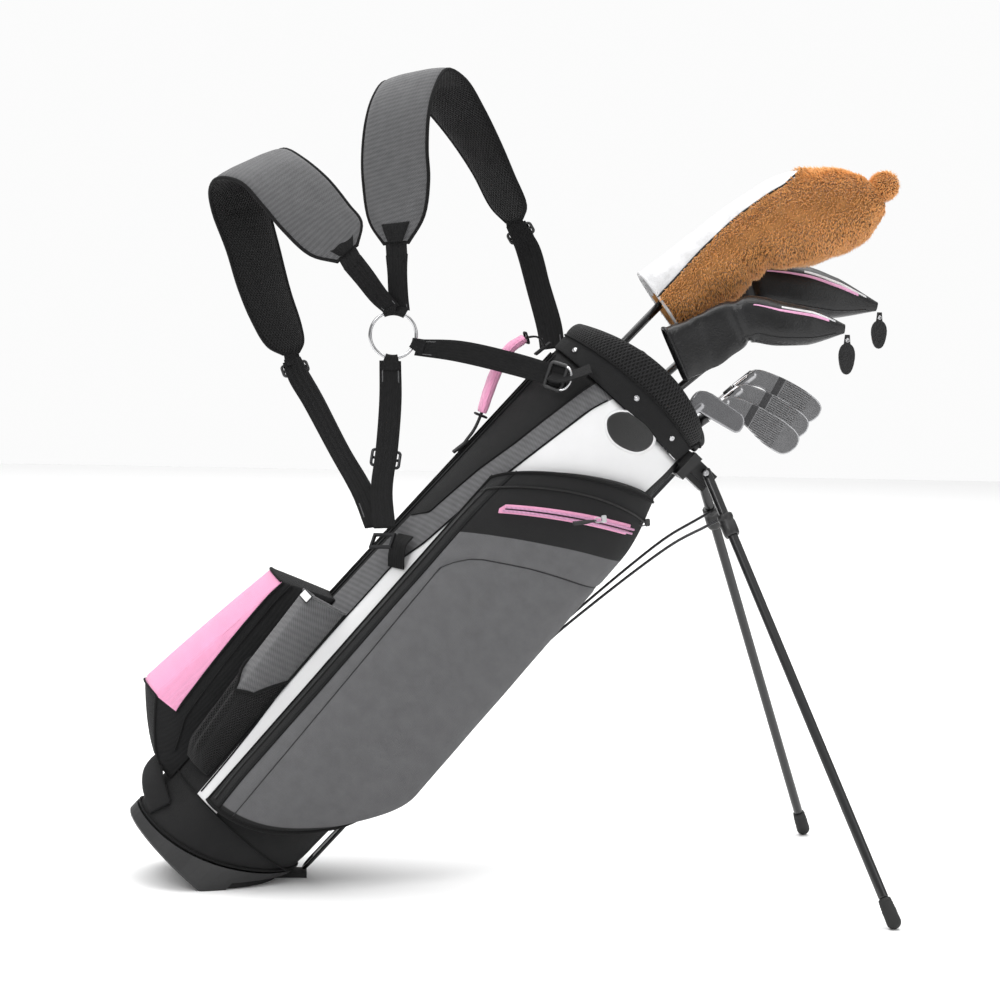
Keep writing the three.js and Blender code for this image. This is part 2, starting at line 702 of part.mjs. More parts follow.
// An iron's blade: a smooth outline in the shaft's frame, thick at the sole and thin at the top.
function ironHead(length, scale) {
  const outline = new THREE.Shape();
  const points = [
    [-5, 8], [-3, 20], [7, 29], [30, 42], [55, 52], [76, 56.5], [86, 51], [89, 39], [83, 26], [61, 18], [36, 14.5],
    [18, 11], [6, 0],
  ].map(([x, z]) => new THREE.Vector2(x * scale, z * scale));
  outline.moveTo(points[0].x, points[0].y);
  outline.splineThru(points.slice(1));
  outline.closePath();
  const blade = new THREE.ExtrudeGeometry(outline, { depth: 1, bevelEnabled: false, curveSegments: 3, steps: 1 });
  const solid = shaped(blade, (x, z, side) => {
    const soleward = (z - 0.34 * x) / scale;
    const thickness = mix(5, 15, min(1, max(0, (soleward + 2) / 30)));
    return [x, side > 0.5 ? thickness - 5.5 : -5.5, z];
  });
  return join(solid, hosel(-14, 16 * scale)).translate(0, 0, length);
}

const PUTTER = { lie: 20 * degrees, blade: 56, flange: 7 };

function putterHead(length) {
  const { lie, blade, flange } = PUTTER;
  const outline = new THREE.Shape();
  outline.moveTo(-9, 0);
  outline.lineTo(blade - 6, 0);
  outline.quadraticCurveTo(blade, 1, blade, 8);
  outline.quadraticCurveTo(blade, 19, blade - 8, 22);
  outline.lineTo(8, 25);
  outline.quadraticCurveTo(-9, 25, -9, 12);
  outline.closePath();
  const face = new THREE.ExtrudeGeometry(outline, { depth: 14, bevelEnabled: false, curveSegments: 4 });
  const front = closed(face.rotateX(PI / 2).translate(0, 10, 0));
  const back = block([14, 9, 1], [blade - 22, 10 + flange, 9]);
  const head = join(front, back).rotateY(-lie).translate(0, 0, 8);
  return join(head, hosel(-14, 18, 5.2)).translate(0, 0, length);
}

// A wood's head: a rounded body whose far end is the toe, on a short hosel.
function woodHead(length, [reach, depth, height]) {
  const body = closed(new THREE.SphereGeometry(1, 20, 12));
  const rounded = shaped(body, (x, y, z) => {
    const taper = 1 - 0.18 * x;
    return [reach / 2 - 8 + (x * reach) / 2, y * depth * 0.5 * taper, 24 + x * 9 + z * height * 0.5 * taper];
  });
  return join(rounded, hosel(-14, 24, 6)).translate(0, 0, length);
}

const clubGroups = {};
for (const [name, club] of Object.entries(CLUBS)) {
  const group = clubGroup(club);
  clubGroups[name] = group;
  piece(`${name}_grip`, grip(), FINISH.grip, group);
  piece(`${name}_shaft`, shaft(club.length - 14 - CLEARANCE), club.shaft, group);
}

const WOODS = { driver: [74, 54, 38], fairway: [54, 32, 26], hybrid: [46, 28, 24] };
const IRONS = { iron_long: 0.94, iron_short: 0.95, wedge: 1 };

function cappedWood(name) {
  const { length } = CLUBS[name];
  return woodHead(length, WOODS[name]);
}

for (const name of Object.keys(WOODS)) piece(`${name}_head`, cappedWood(name), FINISH.graphite, clubGroups[name]);
for (const [name, scale] of Object.entries(IRONS)) {
  piece(`${name}_head`, ironHead(CLUBS[name].length, scale), FINISH.steel, clubGroups[name]);
}
piece('putter_head', putterHead(CLUBS.putter.length), FINISH.steel, clubGroups.putter);

// ---------------------------------------------------------------- head covers

// A sock through stations {x, z, half, depth} in the bag's own frame, centred on the given y.
function coverBody(stations, y, sides = 16, rings = 11) {
  const centre = pathThrough(stations.map(({ x, z }) => [x, y, z]));
  const size = pathThrough(stations.map(({ half, depth }) => [half, depth, 0]));
  return loft(rings, sides, (t, c, s) => {
    const middle = centre.getPoint(t);
    const tangent = centre.getTangent(t);
    const { x: half, y: depth } = size.getPoint(t);
    return [middle.x + tangent.z * half * c, y + depth * s, middle.z - tangent.x * half * c];
  });
}

// The room inside a cover: a bore for the shaft and a hollow a little larger than the head.
function coverHollow(name, boreStart) {
  const { length } = CLUBS[name];
  const [reach, depth, height] = WOODS[name];
  const room = 2.4;
  const hollow = woodHead(length, [reach + 2 * room, depth + 2 * room, height + 2 * room]);
  const bore = turned([[0, boreStart], [9, boreStart], [9, length + 8], [0, length + 8]], 16);
  const group = clubGroups[name];
  group.updateMatrix();
  return join(hollow.translate(-room, 0, 0), bore).applyMatrix4(group.matrix);
}

const COVERS = {
  driver: {
    y: 2,
    bore: 730,
    stations: [
      { x: -46, z: 816, half: 41, depth: 28 }, { x: -38, z: 855, half: 42, depth: 31 },
      { x: -31, z: 900, half: 42, depth: 32 }, { x: -20, z: 945, half: 45, depth: 36 },
      { x: 0, z: 990, half: 52, depth: 40 }, { x: 24, z: 1026, half: 48, depth: 39 },
      { x: 46, z: 1054, half: 36, depth: 30 }, { x: 60, z: 1072, half: 12, depth: 12 },
    ],
  },
  fairway: {
    y: 76,
    bore: 700,
    stations: [
      { x: 4, z: 842, half: 25, depth: 20 }, { x: 16, z: 880, half: 24, depth: 22 },
      { x: 34, z: 918, half: 28, depth: 25 }, { x: 68, z: 945, half: 29, depth: 27 },
      { x: 104, z: 966, half: 24, depth: 24 }, { x: 148, z: 994, half: 5, depth: 6 },
    ],
  },
  hybrid: {
    y: -56,
    bore: 700,
    stations: [
      { x: -1, z: 782, half: 31, depth: 18 }, { x: 14, z: 818, half: 29, depth: 20 },
      { x: 32, z: 866, half: 26, depth: 22 }, { x: 58, z: 885, half: 25, depth: 24 },
      { x: 86, z: 907, half: 21, depth: 21 }, { x: 117, z: 932, half: 5, depth: 6 },
    ],
  },
};

function headCover(name) {
  const { stations, y, bore } = COVERS[name];
  return cut(coverBody(stations, y), coverHollow(name, bore));
}

piece('driver_cover', headCover('driver'), FINISH.plush);
piece('fairway_cover', headCover('fairway'), FINISH.leather);
piece('hybrid_cover', headCover('hybrid'), FINISH.leather);

// A tag hangs straight down from the toe end of each leather cover.
function coverTag(name, length) {
  const { stations, y } = COVERS[name];
  const tip = stations[stations.length - 1];
  const outline = new THREE.Shape();
  outline.moveTo(-2.5, 0);
  outline.lineTo(2.5, 0);
  outline.lineTo(3.5, -10);
  outline.quadraticCurveTo(10, -14, 9, -length * 0.6);
  outline.quadraticCurveTo(7, -length, 0, -length);
  outline.quadraticCurveTo(-7, -length, -9, -length * 0.6);
  outline.quadraticCurveTo(-10, -14, -3.5, -10);
  outline.closePath();
  const tag = closed(new THREE.ExtrudeGeometry(outline, { depth: 3, bevelEnabled: false, curveSegments: 5 }));
  tag.translate(0, 0, -1.5).rotateX(PI / 2).rotateY(-BAG_LEAN);
  return tag.translate(tip.x + 7, y, tip.z - 2);
}

piece('fairway_tag', coverTag('fairway', 42), FINISH.leather);
piece('hybrid_tag', coverTag('hybrid', 44), FINISH.leather);

export default set;
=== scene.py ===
"""Junior golf club set: a leaning stand bag with its legs, harness, pockets and seven clubs."""

import math
import random
from contextlib import contextmanager

import bmesh
import bpy
from mathutils import Matrix, Vector


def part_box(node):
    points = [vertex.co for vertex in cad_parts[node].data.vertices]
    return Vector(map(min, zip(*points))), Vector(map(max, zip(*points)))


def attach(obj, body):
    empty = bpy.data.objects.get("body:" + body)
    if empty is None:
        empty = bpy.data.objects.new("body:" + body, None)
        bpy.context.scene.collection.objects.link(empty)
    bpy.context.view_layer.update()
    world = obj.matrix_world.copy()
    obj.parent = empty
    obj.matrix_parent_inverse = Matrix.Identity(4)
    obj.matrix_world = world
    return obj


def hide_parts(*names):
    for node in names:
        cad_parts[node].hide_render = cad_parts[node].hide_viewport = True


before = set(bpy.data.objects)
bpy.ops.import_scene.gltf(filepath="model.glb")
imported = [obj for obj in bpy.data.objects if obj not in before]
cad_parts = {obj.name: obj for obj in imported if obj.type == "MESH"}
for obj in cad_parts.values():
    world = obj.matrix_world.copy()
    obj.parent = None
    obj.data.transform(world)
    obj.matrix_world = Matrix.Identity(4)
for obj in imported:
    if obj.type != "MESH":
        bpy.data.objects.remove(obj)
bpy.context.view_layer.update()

bl_info = {
    "name": "Junior Golf Set",
    "version": (1, 0, 0),
    "blender": (4, 5, 0),
    "location": "3D View > Sidebar > Golf Set",
    "description": "Builds the visible pieces of a junior golf bag and its clubs around the packed model",
    "category": "Object",
}

MM = 0.001
LEAN = math.radians(42.1)
BAG_ORIGIN = (-52.098, 0.0, 12.738)
BAG_SPACE = Matrix.Translation(Vector(BAG_ORIGIN) * MM) @ Matrix.Rotation(LEAN, 4, "Y")
BAG_LENGTH = 740.0
RANDOM_SEED = 7


# ------------------------------------------------------------------ settings


def colour_property(name, description, default):
    return bpy.props.FloatVectorProperty(
        name=name, description=description, subtype="COLOR", size=3, min=0.0, max=1.0, default=default
    )


def size_property(name, description, default):
    return bpy.props.FloatProperty(
        name=name, description=description, default=default, min=0.0, unit="LENGTH", precision=4
    )


class GolfSetColours(bpy.types.PropertyGroup):
    """Colours of the bag's fabrics and the clubs' covers."""

    grey: colour_property("Grey Fabric", "Main woven panels", (0.125, 0.125, 0.129))
    black: colour_property("Black Fabric", "Dark woven panels", (0.0115, 0.0115, 0.012))
    pink: colour_property("Pink Fabric", "Ball pocket and handle", (0.84, 0.36, 0.56))
    white: colour_property("White Fabric", "Coated white panels", (0.74, 0.74, 0.745))
    plush: colour_property("Plush", "Tips of the long pile", (0.72, 0.33, 0.085))
    leather: colour_property("Leather", "Head covers and their tags", (0.009, 0.009, 0.0095))


class GolfSetSizes(bpy.types.PropertyGroup):
    """Sizes of the sewn and drawn details."""

    thread: size_property("Thread Pitch", "Distance between threads of the woven panels", 0.0011)
    piping: size_property("Piping Radius", "Radius of the corded edges", 0.0013)
    pile: size_property("Pile Length", "Length of the plush fibres", 0.0085)
    groove: size_property("Groove Pitch", "Distance between the grooves of an iron's face", 0.0026)


def colours():
    return bpy.context.scene.golf_set_colours


def sizes():
    return bpy.context.scene.golf_set_sizes


# ------------------------------------------------------------------ curves and meshes


def lerp(a, b, t):
    return a + (b - a) * t


def clamp(value, low=0.0, high=1.0):
    return max(low, min(high, value))


def ease(t):
    t = clamp(t)
    return t * t * (3 - 2 * t)


def table(points):
    """A straight-line function through (input, output) pairs."""

    def value(x):
        if x <= points[0][0]:
            return points[0][1]
        for (x0, y0), (x1, y1) in zip(points, points[1:]):
            if x <= x1:
                return lerp(y0, y1, (x - x0) / (x1 - x0))
        return points[-1][1]

    return value


def spline(points):
    """A centripetal Catmull-Rom curve through the points, as a function of 0..1."""
    knots = [Vector(p) for p in points]
    last = len(knots) - 1

    def value(t):
        place = clamp(t) * last
        i = min(int(place), last - 1)
        w = place - i
        p1, p2 = knots[i], knots[i + 1]
        p0 = knots[i - 1] if i else p1 * 2 - p2
        p3 = knots[i + 2] if i + 2 <= last else p2 * 2 - p1
        steps = [max((b - a).length, 1e-6) ** 0.5 for a, b in ((p0, p1), (p1, p2), (p2, p3))]
        d0, d1, d2 = steps
        m1 = ((p1 - p0) / d0 - (p2 - p0) / (d0 + d1) + (p2 - p1) / d1) * d1
        m2 = ((p2 - p1) / d1 - (p3 - p1) / (d1 + d2) + (p3 - p2) / d2) * d1
        c2 = (p2 - p1) * 3 - m1 * 2 - m2
        c3 = (p1 - p2) * 2 + m1 + m2
        return p1 + m1 * w + c2 * w * w + c3 * w * w * w

    return value


def resample(points, count):
    """Points evenly spaced along the smooth curve through the given ones."""
    curve = spline(points)
    fine = [curve(i / 400) for i in range(401)]
    travelled = [0.0]
    for a, b in zip(fine, fine[1:]):
        travelled.append(travelled[-1] + (b - a).length)
    out = []
    j = 0
    for i in range(count):
        goal = travelled[-1] * i / (count - 1)
        while j < 399 and travelled[j + 1] < goal:
            j += 1
        span = travelled[j + 1] - travelled[j] or 1.0
        out.append(fine[j].lerp(fine[j + 1], clamp((goal - travelled[j]) / span)))
    return out


def new_piece(name, verts, faces, looks, body="bag", space=BAG_SPACE, uv=None, picks=None, smooth=True):
    """A mesh object with named finishes, from points in millimetres of a space, riding on a body."""
    mesh = bpy.data.meshes.new(name)
    mesh.from_pydata([Vector(v) * MM for v in verts], [], faces)
    for look in [looks] if isinstance(looks, str) else looks:
        mesh.materials.append(FINISHES[look])
    if uv:
        layer = mesh.uv_layers.new(name="UVMap")
        for loop in mesh.loops:
            layer.data[loop.index].uv = uv[loop.vertex_index]
    for index, polygon in enumerate(mesh.polygons):
        polygon.use_smooth = smooth
        if picks:
            polygon.material_index = picks[index]
    mesh.validate()
    piece = bpy.data.objects.new(name, mesh)
    piece.matrix_world = space
    bpy.context.scene.collection.objects.link(piece)
    with edited(mesh):
        pass
    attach(piece, body)
    return piece


@contextmanager
def edited(mesh):
    """The mesh opened for edits, with its normals turned outward at the end."""
    shape = bmesh.new()
    shape.from_mesh(mesh)
    yield shape
    bmesh.ops.recalc_face_normals(shape, faces=shape.faces)
    shape.to_mesh(mesh)
    shape.free()


def stands_for(piece, node):
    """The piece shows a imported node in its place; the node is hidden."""
    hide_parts(node)
    return piece


def sampled(function, count):
    """The function's values at even steps of 0..1."""
    return [function(i / count) for i in range(count + 1)]


def grid_faces(rows, columns, wrap_rows=False, wrap_columns=False):
    faces = []
    for i in range(rows if wrap_rows else rows - 1):
        for j in range(columns if wrap_columns else columns - 1):
            k, m = (i + 1) % rows, (j + 1) % columns
            faces.append((i * columns + j, i * columns + m, k * columns + m, k * columns + j))
    return faces


def tube_mesh(points, radius, sides=16, flat=1.0, closed=False, turn=None):
    """Rings of points round a path; radius is a number or a function of 0..1 along it."""
    verts, uv = [], []
    count = len(points)
    side = None
    length = 0.0
    for i, point in enumerate(points):
        ahead = points[(i + 1) % count] if closed or i < count - 1 else point
        behind = points[i - 1] if closed or i else point
        tangent = (Vector(ahead) - Vector(behind)).normalized()
        if side is None:
            side = Vector(turn) if turn else tangent.orthogonal()
        side = (side - tangent * side.dot(tangent)).normalized()
        other = tangent.cross(side)
        r = radius(i / (count - 1)) if callable(radius) else radius
        if i:
            length += (Vector(point) - Vector(points[i - 1])).length
        for k in range(sides):
            angle = 2 * math.pi * k / sides
            verts.append(Vector(point) + side * math.cos(angle) * r + other * math.sin(angle) * r * flat)
            uv.append((k / sides * 2 * math.pi * r * MM, length * MM))
    faces = grid_faces(count, sides, wrap_rows=closed, wrap_columns=True)
    if not closed:
        faces.append(tuple(reversed(range(sides))))
        faces.append(tuple(range((count - 1) * sides, count * sides)))
    return verts, faces, uv


def tube(name, points, radius, look, body="bag", sides=16, steps=None, space=BAG_SPACE, **more):
    path = resample(points, steps) if steps else [Vector(p) for p in points]
    verts, faces, uv = tube_mesh(path, radius, sides, **more)
    return new_piece(name, verts, faces, look, body, space, uv)


def turned(name, profile, look, body, space, sides=48):
    """A solid of revolution about the space's Z from (radius, height) points."""
    verts, uv = [], []
    for radius, height in profile:
        for k in range(sides):
            angle = 2 * math.pi * k / sides
            verts.append((radius * math.cos(angle), radius * math.sin(angle), height))
            uv.append((angle * max(radius, 1.0) * MM, height * MM))
    faces = grid_faces(len(profile), sides, wrap_columns=True)
    faces.append(tuple(reversed(range(sides))))
    faces.append(tuple(range((len(profile) - 1) * sides, len(profile) * sides)))
    return new_piece(name, verts, faces, look, body, space, uv)


def sheet_grid(name, rows, columns, place, looks, body="bag", wrap=False, space=BAG_SPACE, pick=None):
    """A grid whose place(a, b) gives a point for 0..1 across and along, with its cloth measure as UV."""
    verts = []
    for i in range(rows):
        for j in range(columns):
            a = j / columns if wrap else j / (columns - 1)
            verts.append(Vector(place(a, i / (rows - 1))))
    uv = measured_uv(verts, rows, columns)
    faces = grid_faces(rows, columns, wrap_columns=wrap)
    picks = None
    if pick:
        picks = []
        for i in range(rows - 1):
            for j in range(columns if wrap else columns - 1):
                picks.append(pick((j + 0.5) / (columns if wrap else columns - 1), (i + 0.5) / (rows - 1)))
    return new_piece(name, verts, faces, looks, body, space, uv, picks)


def measured_uv(verts, rows, columns):
    """UVs in metres, measured along the middle row and column."""
    across, along = [0.0], [0.0]
    row = rows // 2 * columns
    for j in range(1, columns):
        across.append(across[-1] + (verts[row + j] - verts[row + j - 1]).length * MM)
    for i in range(1, rows):
        step = verts[i * columns + columns // 2] - verts[(i - 1) * columns + columns // 2]
        along.append(along[-1] + step.length * MM)
    return [(across[j], along[i]) for i in range(rows) for j in range(columns)]


def solidified(piece, thickness, offset=-1.0):
    modifier = piece.modifiers.new("Thickness", "SOLIDIFY")
    modifier.thickness = thickness * MM
    modifier.offset = offset
    return piece


def rounded(piece, width, segments=3, angle=35):
    modifier = piece.modifiers.new("Rounded edges", "BEVEL")
    modifier.width = width * MM
    modifier.segments = segments
    modifier.limit_method = "ANGLE"
    modifier.angle_limit = math.radians(angle)
    modifier.harden_normals = False
    return piece


def smoothed(piece):
    modifier = piece.modifiers.new("Smooth surface", "SUBSURF")
    modifier.levels = modifier.render_levels = 1
    return piece


def applied(piece):
    """Bakes the modifiers of a piece into its mesh."""
    view = bpy.context.evaluated_depsgraph_get()
    view.update()
    mesh = bpy.data.meshes.new_from_object(piece.evaluated_get(view), depsgraph=view)
    old = piece.data
    piece.modifiers.clear()
    piece.data = mesh
    bpy.data.meshes.remove(old)
    return piece


def slab(name, outline, thickness, look, body="bag", space=BAG_SPACE, bevel=0.6):
    """A flat plate of the outline in X and Y of its space, with rounded edges."""
    count = len(outline)
    verts = [(x, y, z) for z in (0.0, thickness) for x, y in outline]
    faces = [tuple(reversed(range(count))), tuple(range(count, 2 * count))]
    faces += [(i, (i + 1) % count, (i + 1) % count + count, i + count) for i in range(count)]
    piece = new_piece(name, verts, faces, look, body, space, smooth=False)
    return applied(rounded(piece, bevel)) if bevel else piece


def oblong(half_length, half_width, corner, steps=6):
    """The outline of a rectangle with round corners."""
    out = []
    centres = (
        (half_length - corner, half_width - corner, 0),
        (-half_length + corner, half_width - corner, 90),
        (-half_length + corner, -half_width + corner, 180),
        (half_length - corner, -half_width + corner, 270),
    )
    for x, y, start in centres:
        for k in range(steps + 1):
            angle = math.radians(start + 90 * k / steps)
            out.append((x + corner * math.cos(angle), y + corner * math.sin(angle)))
    return out


def facing(origin, forward, upward, base=BAG_SPACE):
    """A space at a point in millimetres whose Z looks forward and whose Y is nearest to upward."""
    z = Vector(forward).normalized()
    x = Vector(upward).cross(z).normalized()
    y = z.cross(x)
    turn = Matrix((x, y, z)).transposed().to_4x4()
    return base @ Matrix.Translation(Vector(origin) * MM) @ turn


def tucked(piece, name, frames=20, pressure=4.0, cap=6.0, stiffness=15.0):
    """Puffs a closed padded piece with cloth pressure; vertices of its Seams group stay where they are."""
    start = [v.co.copy() for v in piece.data.vertices]
    cloth = piece.modifiers.new(name, "CLOTH")
    settings = cloth.settings
    settings.use_pressure = True
    settings.uniform_pressure_force = pressure
    settings.effector_weights.gravity = 0.0
    settings.tension_stiffness = settings.compression_stiffness = stiffness
    settings.shear_stiffness = 5.0
    settings.bending_stiffness = 0.5
    settings.quality = 4
    if "Seams" in piece.vertex_groups:
        settings.vertex_group_mass = "Seams"
    cloth.collision_settings.use_collision = False
    cloth.point_cache.frame_start = 1
    cloth.point_cache.frame_end = frames
    scene = bpy.context.scene
    for number in range(1, frames + 1):
        scene.frame_set(number)
    view = bpy.context.evaluated_depsgraph_get()
    moved = [v.co.copy() for v in piece.evaluated_get(view).data.vertices]
    piece.modifiers.remove(cloth)
    scene.frame_set(1)
    for vertex, before, after in zip(piece.data.vertices, start, moved):
        step = after - before
        limit = cap * MM
        if step.length > limit:
            step *= limit / step.length
        vertex.co = before + step
    return piece


# ------------------------------------------------------------------ shader nodes


class Graph:
    """Short words for building a node tree."""

    def __init__(self, tree):
        self.tree = tree

    def node(self, kind, inputs=None, **settings):
        node = self.tree.nodes.new(kind)
        for key, value in settings.items():
            setattr(node, key, value)
        for key, value in (inputs or {}).items():
            self.feed(node.inputs[key], value)
        return node

    def feed(self, socket, value):
        if isinstance(value, bpy.types.NodeSocket):
            self.tree.links.new(value, socket)
        elif hasattr(value, "__len__") and socket.type == "RGBA" and len(value) == 3:
            socket.default_value = (*value, 1.0)
        else:
            socket.default_value = value

    def math(self, operation, a, b=0.0, c=0.0, use_clamp=False):
        return self.node("ShaderNodeMath", {0: a, 1: b, 2: c}, operation=operation,
                         use_clamp=use_clamp).outputs[0]

    def plus(self, a, b):
        return self.math("ADD", a, b)

    def minus(self, a, b):
        return self.math("SUBTRACT", a, b)

    def times(self, a, b):
        return self.math("MULTIPLY", a, b)

    def sine(self, value):
        return self.math("SINE", value)

    def absolute(self, value):
        return self.math("ABSOLUTE", value)

    def stretched(self, vector, factors):
        return self.node("ShaderNodeVectorMath", {0: vector, 1: factors}, operation="MULTIPLY").outputs[0]

    def split(self, vector):
        return self.node("ShaderNodeSeparateXYZ", {0: vector}).outputs

    def noise(self, vector, scale, detail=3.0, roughness=0.5):
        inputs = {"Vector": vector, "Scale": scale, "Detail": detail, "Roughness": roughness}
        return self.node("ShaderNodeTexNoise", inputs).outputs["Fac"]

    def ramp(self, value, low, high, smooth=True):
        """0 below low, 1 above high."""
        inputs = {0: value, 1: low, 2: high, 3: 0.0, 4: 1.0}
        kind = "SMOOTHSTEP" if smooth else "LINEAR"
        return self.node("ShaderNodeMapRange", inputs, interpolation_type=kind).outputs[0]

    def between(self, value, low, high, soft=0.0005):
        """1 from low to high and 0 outside, with soft edges."""
        inside = self.ramp(value, low, low + soft)
        return self.times(inside, self.inverse(self.ramp(value, high, high + soft)))

    def mix(self, factor, a, b):
        node = self.node("ShaderNodeMix", data_type="RGBA")
        self.feed(node.inputs[0], factor)
        self.feed(node.inputs[6], a)
        self.feed(node.inputs[7], b)
        return node.outputs[2]

    def blend(self, factor, a, b):
        return self.plus(self.times(b, factor), self.times(a, self.inverse(factor)))

    def inverse(self, value):
        return self.minus(1.0, value)

    def group(self, name, **inputs):
        node = self.node("ShaderNodeGroup", node_tree=EFFECTS[name])
        for key, value in inputs.items():
            self.feed(node.inputs[key.replace("_", " ")], value)
        return node.outputs

    def curve(self, value, points, low, high):
        """A drawn function of value between low and high, for edges of sewn panels."""
        place = self.math("DIVIDE", self.minus(value, low), high - low, use_clamp=True)
        floor = min(y for _, y in points)
        span = max(y for _, y in points) - floor or 1.0
        node = self.node("ShaderNodeFloatCurve", {"Value": place})
        line = node.mapping.curves[0]
        shaped = [((x - low) / (high - low), (y - floor) / span) for x, y in points]
        line.points[0].location = shaped[0]
        line.points[1].location = shaped[-1]
        for x, y in shaped[1:-1]:
            line.points.new(x, y)
        for point in line.points:
            point.handle_type = "VECTOR"
        node.mapping.update()
        return self.math("MULTIPLY_ADD", node.outputs[0], span, floor)


EFFECTS = {}
EFFECT_MAKERS = []
FINISHES = {}


def effect(name, inputs, outputs):
    """Registers a shader node group built by the decorated function."""

    def register_effect(build):
        def make():
            tree = bpy.data.node_groups.new(name, "ShaderNodeTree")
            for label, default in inputs.items():
                kind = "NodeSocketVector" if default is None else "NodeSocketFloat"
                socket = tree.interface.new_socket(label, in_out="INPUT", socket_type=kind)
                if default is not None:
                    socket.default_value = default
            for label in outputs:
                tree.interface.new_socket(label, in_out="OUTPUT", socket_type="NodeSocketFloat")
            graph = Graph(tree)
            start = graph.node("NodeGroupInput").outputs
            end = graph.node("NodeGroupOutput")
            for label, value in build(graph, start).items():
                graph.feed(end.inputs[label], value)
            EFFECTS[name] = tree

        EFFECT_MAKERS.append(make)
        return build

    return register_effect


@effect("Plain Weave", {"Vector": None, "Pitch": 0.0011, "Unevenness": 0.35}, ["Height", "Shade"])
def plain_weave(g, start):
    """Two sets of threads that pass over and under each other."""
    wander = g.times(g.noise(start["Vector"], 900.0, 2.0), start["Unevenness"])
    x, y, _ = g.split(start["Vector"])
    along = g.plus(g.math("DIVIDE", x, start["Pitch"]), wander)
    across = g.plus(g.math("DIVIDE", y, start["Pitch"]), wander)
    warp = g.absolute(g.sine(g.times(along, math.pi)))
    weft = g.absolute(g.sine(g.times(across, math.pi)))
    cells = g.plus(g.math("FLOOR", along), g.math("FLOOR", across))
    over = g.absolute(g.math("FLOORED_MODULO", cells, 2.0))
    height = g.blend(over, g.times(warp, g.plus(weft, 0.6)),
                     g.times(weft, g.plus(warp, 0.6)))
    patchy = g.noise(start["Vector"], 60.0, 4.0, 0.6)
    shade = g.plus(g.times(height, 0.35), g.times(patchy, 0.45))
    return {"Height": height, "Shade": shade}


@effect("Slant Rib", {"Vector": None, "Pitch": 0.002}, ["Height", "Shade"])
def slant_rib(g, start):
    """Diagonal broken ribs, as in a heavy twill."""
    x, y, _ = g.split(start["Vector"])
    slant = g.math("DIVIDE", g.plus(x, g.times(y, 0.6)), start["Pitch"])
    broken = g.math("DIVIDE", g.minus(y, g.times(x, 0.2)), start["Pitch"])
    rib = g.absolute(g.sine(g.times(slant, math.pi)))
    dash = g.times(g.sine(g.times(broken, 2.2)), 0.25)
    height = g.plus(rib, dash)
    patchy = g.noise(start["Vector"], 90.0, 3.0)
    shade = g.plus(g.times(height, 0.4), g.times(patchy, 0.4))
    return {"Height": height, "Shade": shade}


@effect("Strap Weave", {"Vector": None, "Pitch": 0.0016}, ["Height", "Shade"])
def strap_weave(g, start):
    """Cross ribs with the fine chevrons of woven webbing."""
    x, y, _ = g.split(start["Vector"])
    zig = g.math("PINGPONG", x, 0.0032)
    rib = g.sine(g.times(g.math("DIVIDE", g.plus(y, zig), start["Pitch"]), 2 * math.pi))
    cord = g.sine(g.times(x, 2 * math.pi / 0.0032))
    height = g.math("MULTIPLY_ADD", rib, 0.5, g.times(cord, 0.3))
    shade = g.plus(g.times(height, 0.4), g.noise(start["Vector"], 160.0, 3.0))
    return {"Height": height, "Shade": shade}


@effect("Diamond Mesh", {"Vector": None, "Cell": 0.0055}, ["Height", "Hole"])
def diamond_mesh(g, start):
    """An open net of slanting cords with dark diamonds between them."""
    x, y, _ = g.split(start["Vector"])
    turn = g.times(g.math("DIVIDE", x, start["Cell"]), math.pi)
    rise = g.times(g.math("DIVIDE", y, start["Cell"]), math.pi * 0.62)
    first = g.absolute(g.sine(g.plus(turn, rise)))
    second = g.absolute(g.sine(g.minus(turn, rise)))
    depth = g.times(first, second)
    hole = g.ramp(depth, 0.42, 0.62)
    return {"Height": g.inverse(g.ramp(depth, 0.1, 0.7)), "Hole": hole}


@effect("Leather Grain", {"Vector": None, "Scale": 900.0}, ["Height", "Shade"])
def leather_grain(g, start):
    """Pebbled cells broken up by soft creases."""
    cells = g.node("ShaderNodeTexVoronoi", {"Vector": start["Vector"], "Scale": start["Scale"]},
                   feature="SMOOTH_F1").outputs["Distance"]
    crease = g.noise(start["Vector"], 45.0, 5.0, 0.65)
    height = g.minus(g.times(crease, 1.2), g.times(cells, 0.35))
    return {"Height": height, "Shade": crease}


@effect("Fine Moulding", {"Vector": None, "Scale": 1400.0}, ["Height", "Shade"])
def fine_moulding(g, start):
    """The even grain of moulded plastic, with faint handling marks."""
    grain = g.noise(start["Vector"], start["Scale"], 2.0)
    marks = g.noise(start["Vector"], 22.0, 6.0, 0.7)
    return {"Height": grain, "Shade": g.plus(g.times(grain, 0.3), g.times(marks, 0.7))}


@effect("Brushed Lines", {"Vector": None, "Scale": 60.0}, ["Height", "Shade"])
def brushed_lines(g, start):
    """Fine polishing lines along X with soft smudges."""
    lines = g.noise(g.stretched(start["Vector"], (25.0, 600.0, 600.0)), 6.0, 4.0, 0.7)
    smudge = g.noise(start["Vector"], start["Scale"], 4.0, 0.6)
    return {"Height": lines, "Shade": g.plus(g.times(lines, 0.45), g.times(smudge, 0.55))}


@effect("Dust", {"Vector": None, "Amount": 0.3}, ["Mask"])
def dust(g, start):
    """Pale specks and rubbed patches."""
    broad = g.noise(start["Vector"], 18.0, 5.0, 0.65)
    specks = g.noise(start["Vector"], 650.0, 2.0)
    mask = g.times(g.ramp(broad, 0.45, 0.75), g.ramp(specks, 0.5, 0.7))
    return {"Mask": g.times(mask, start["Amount"])}


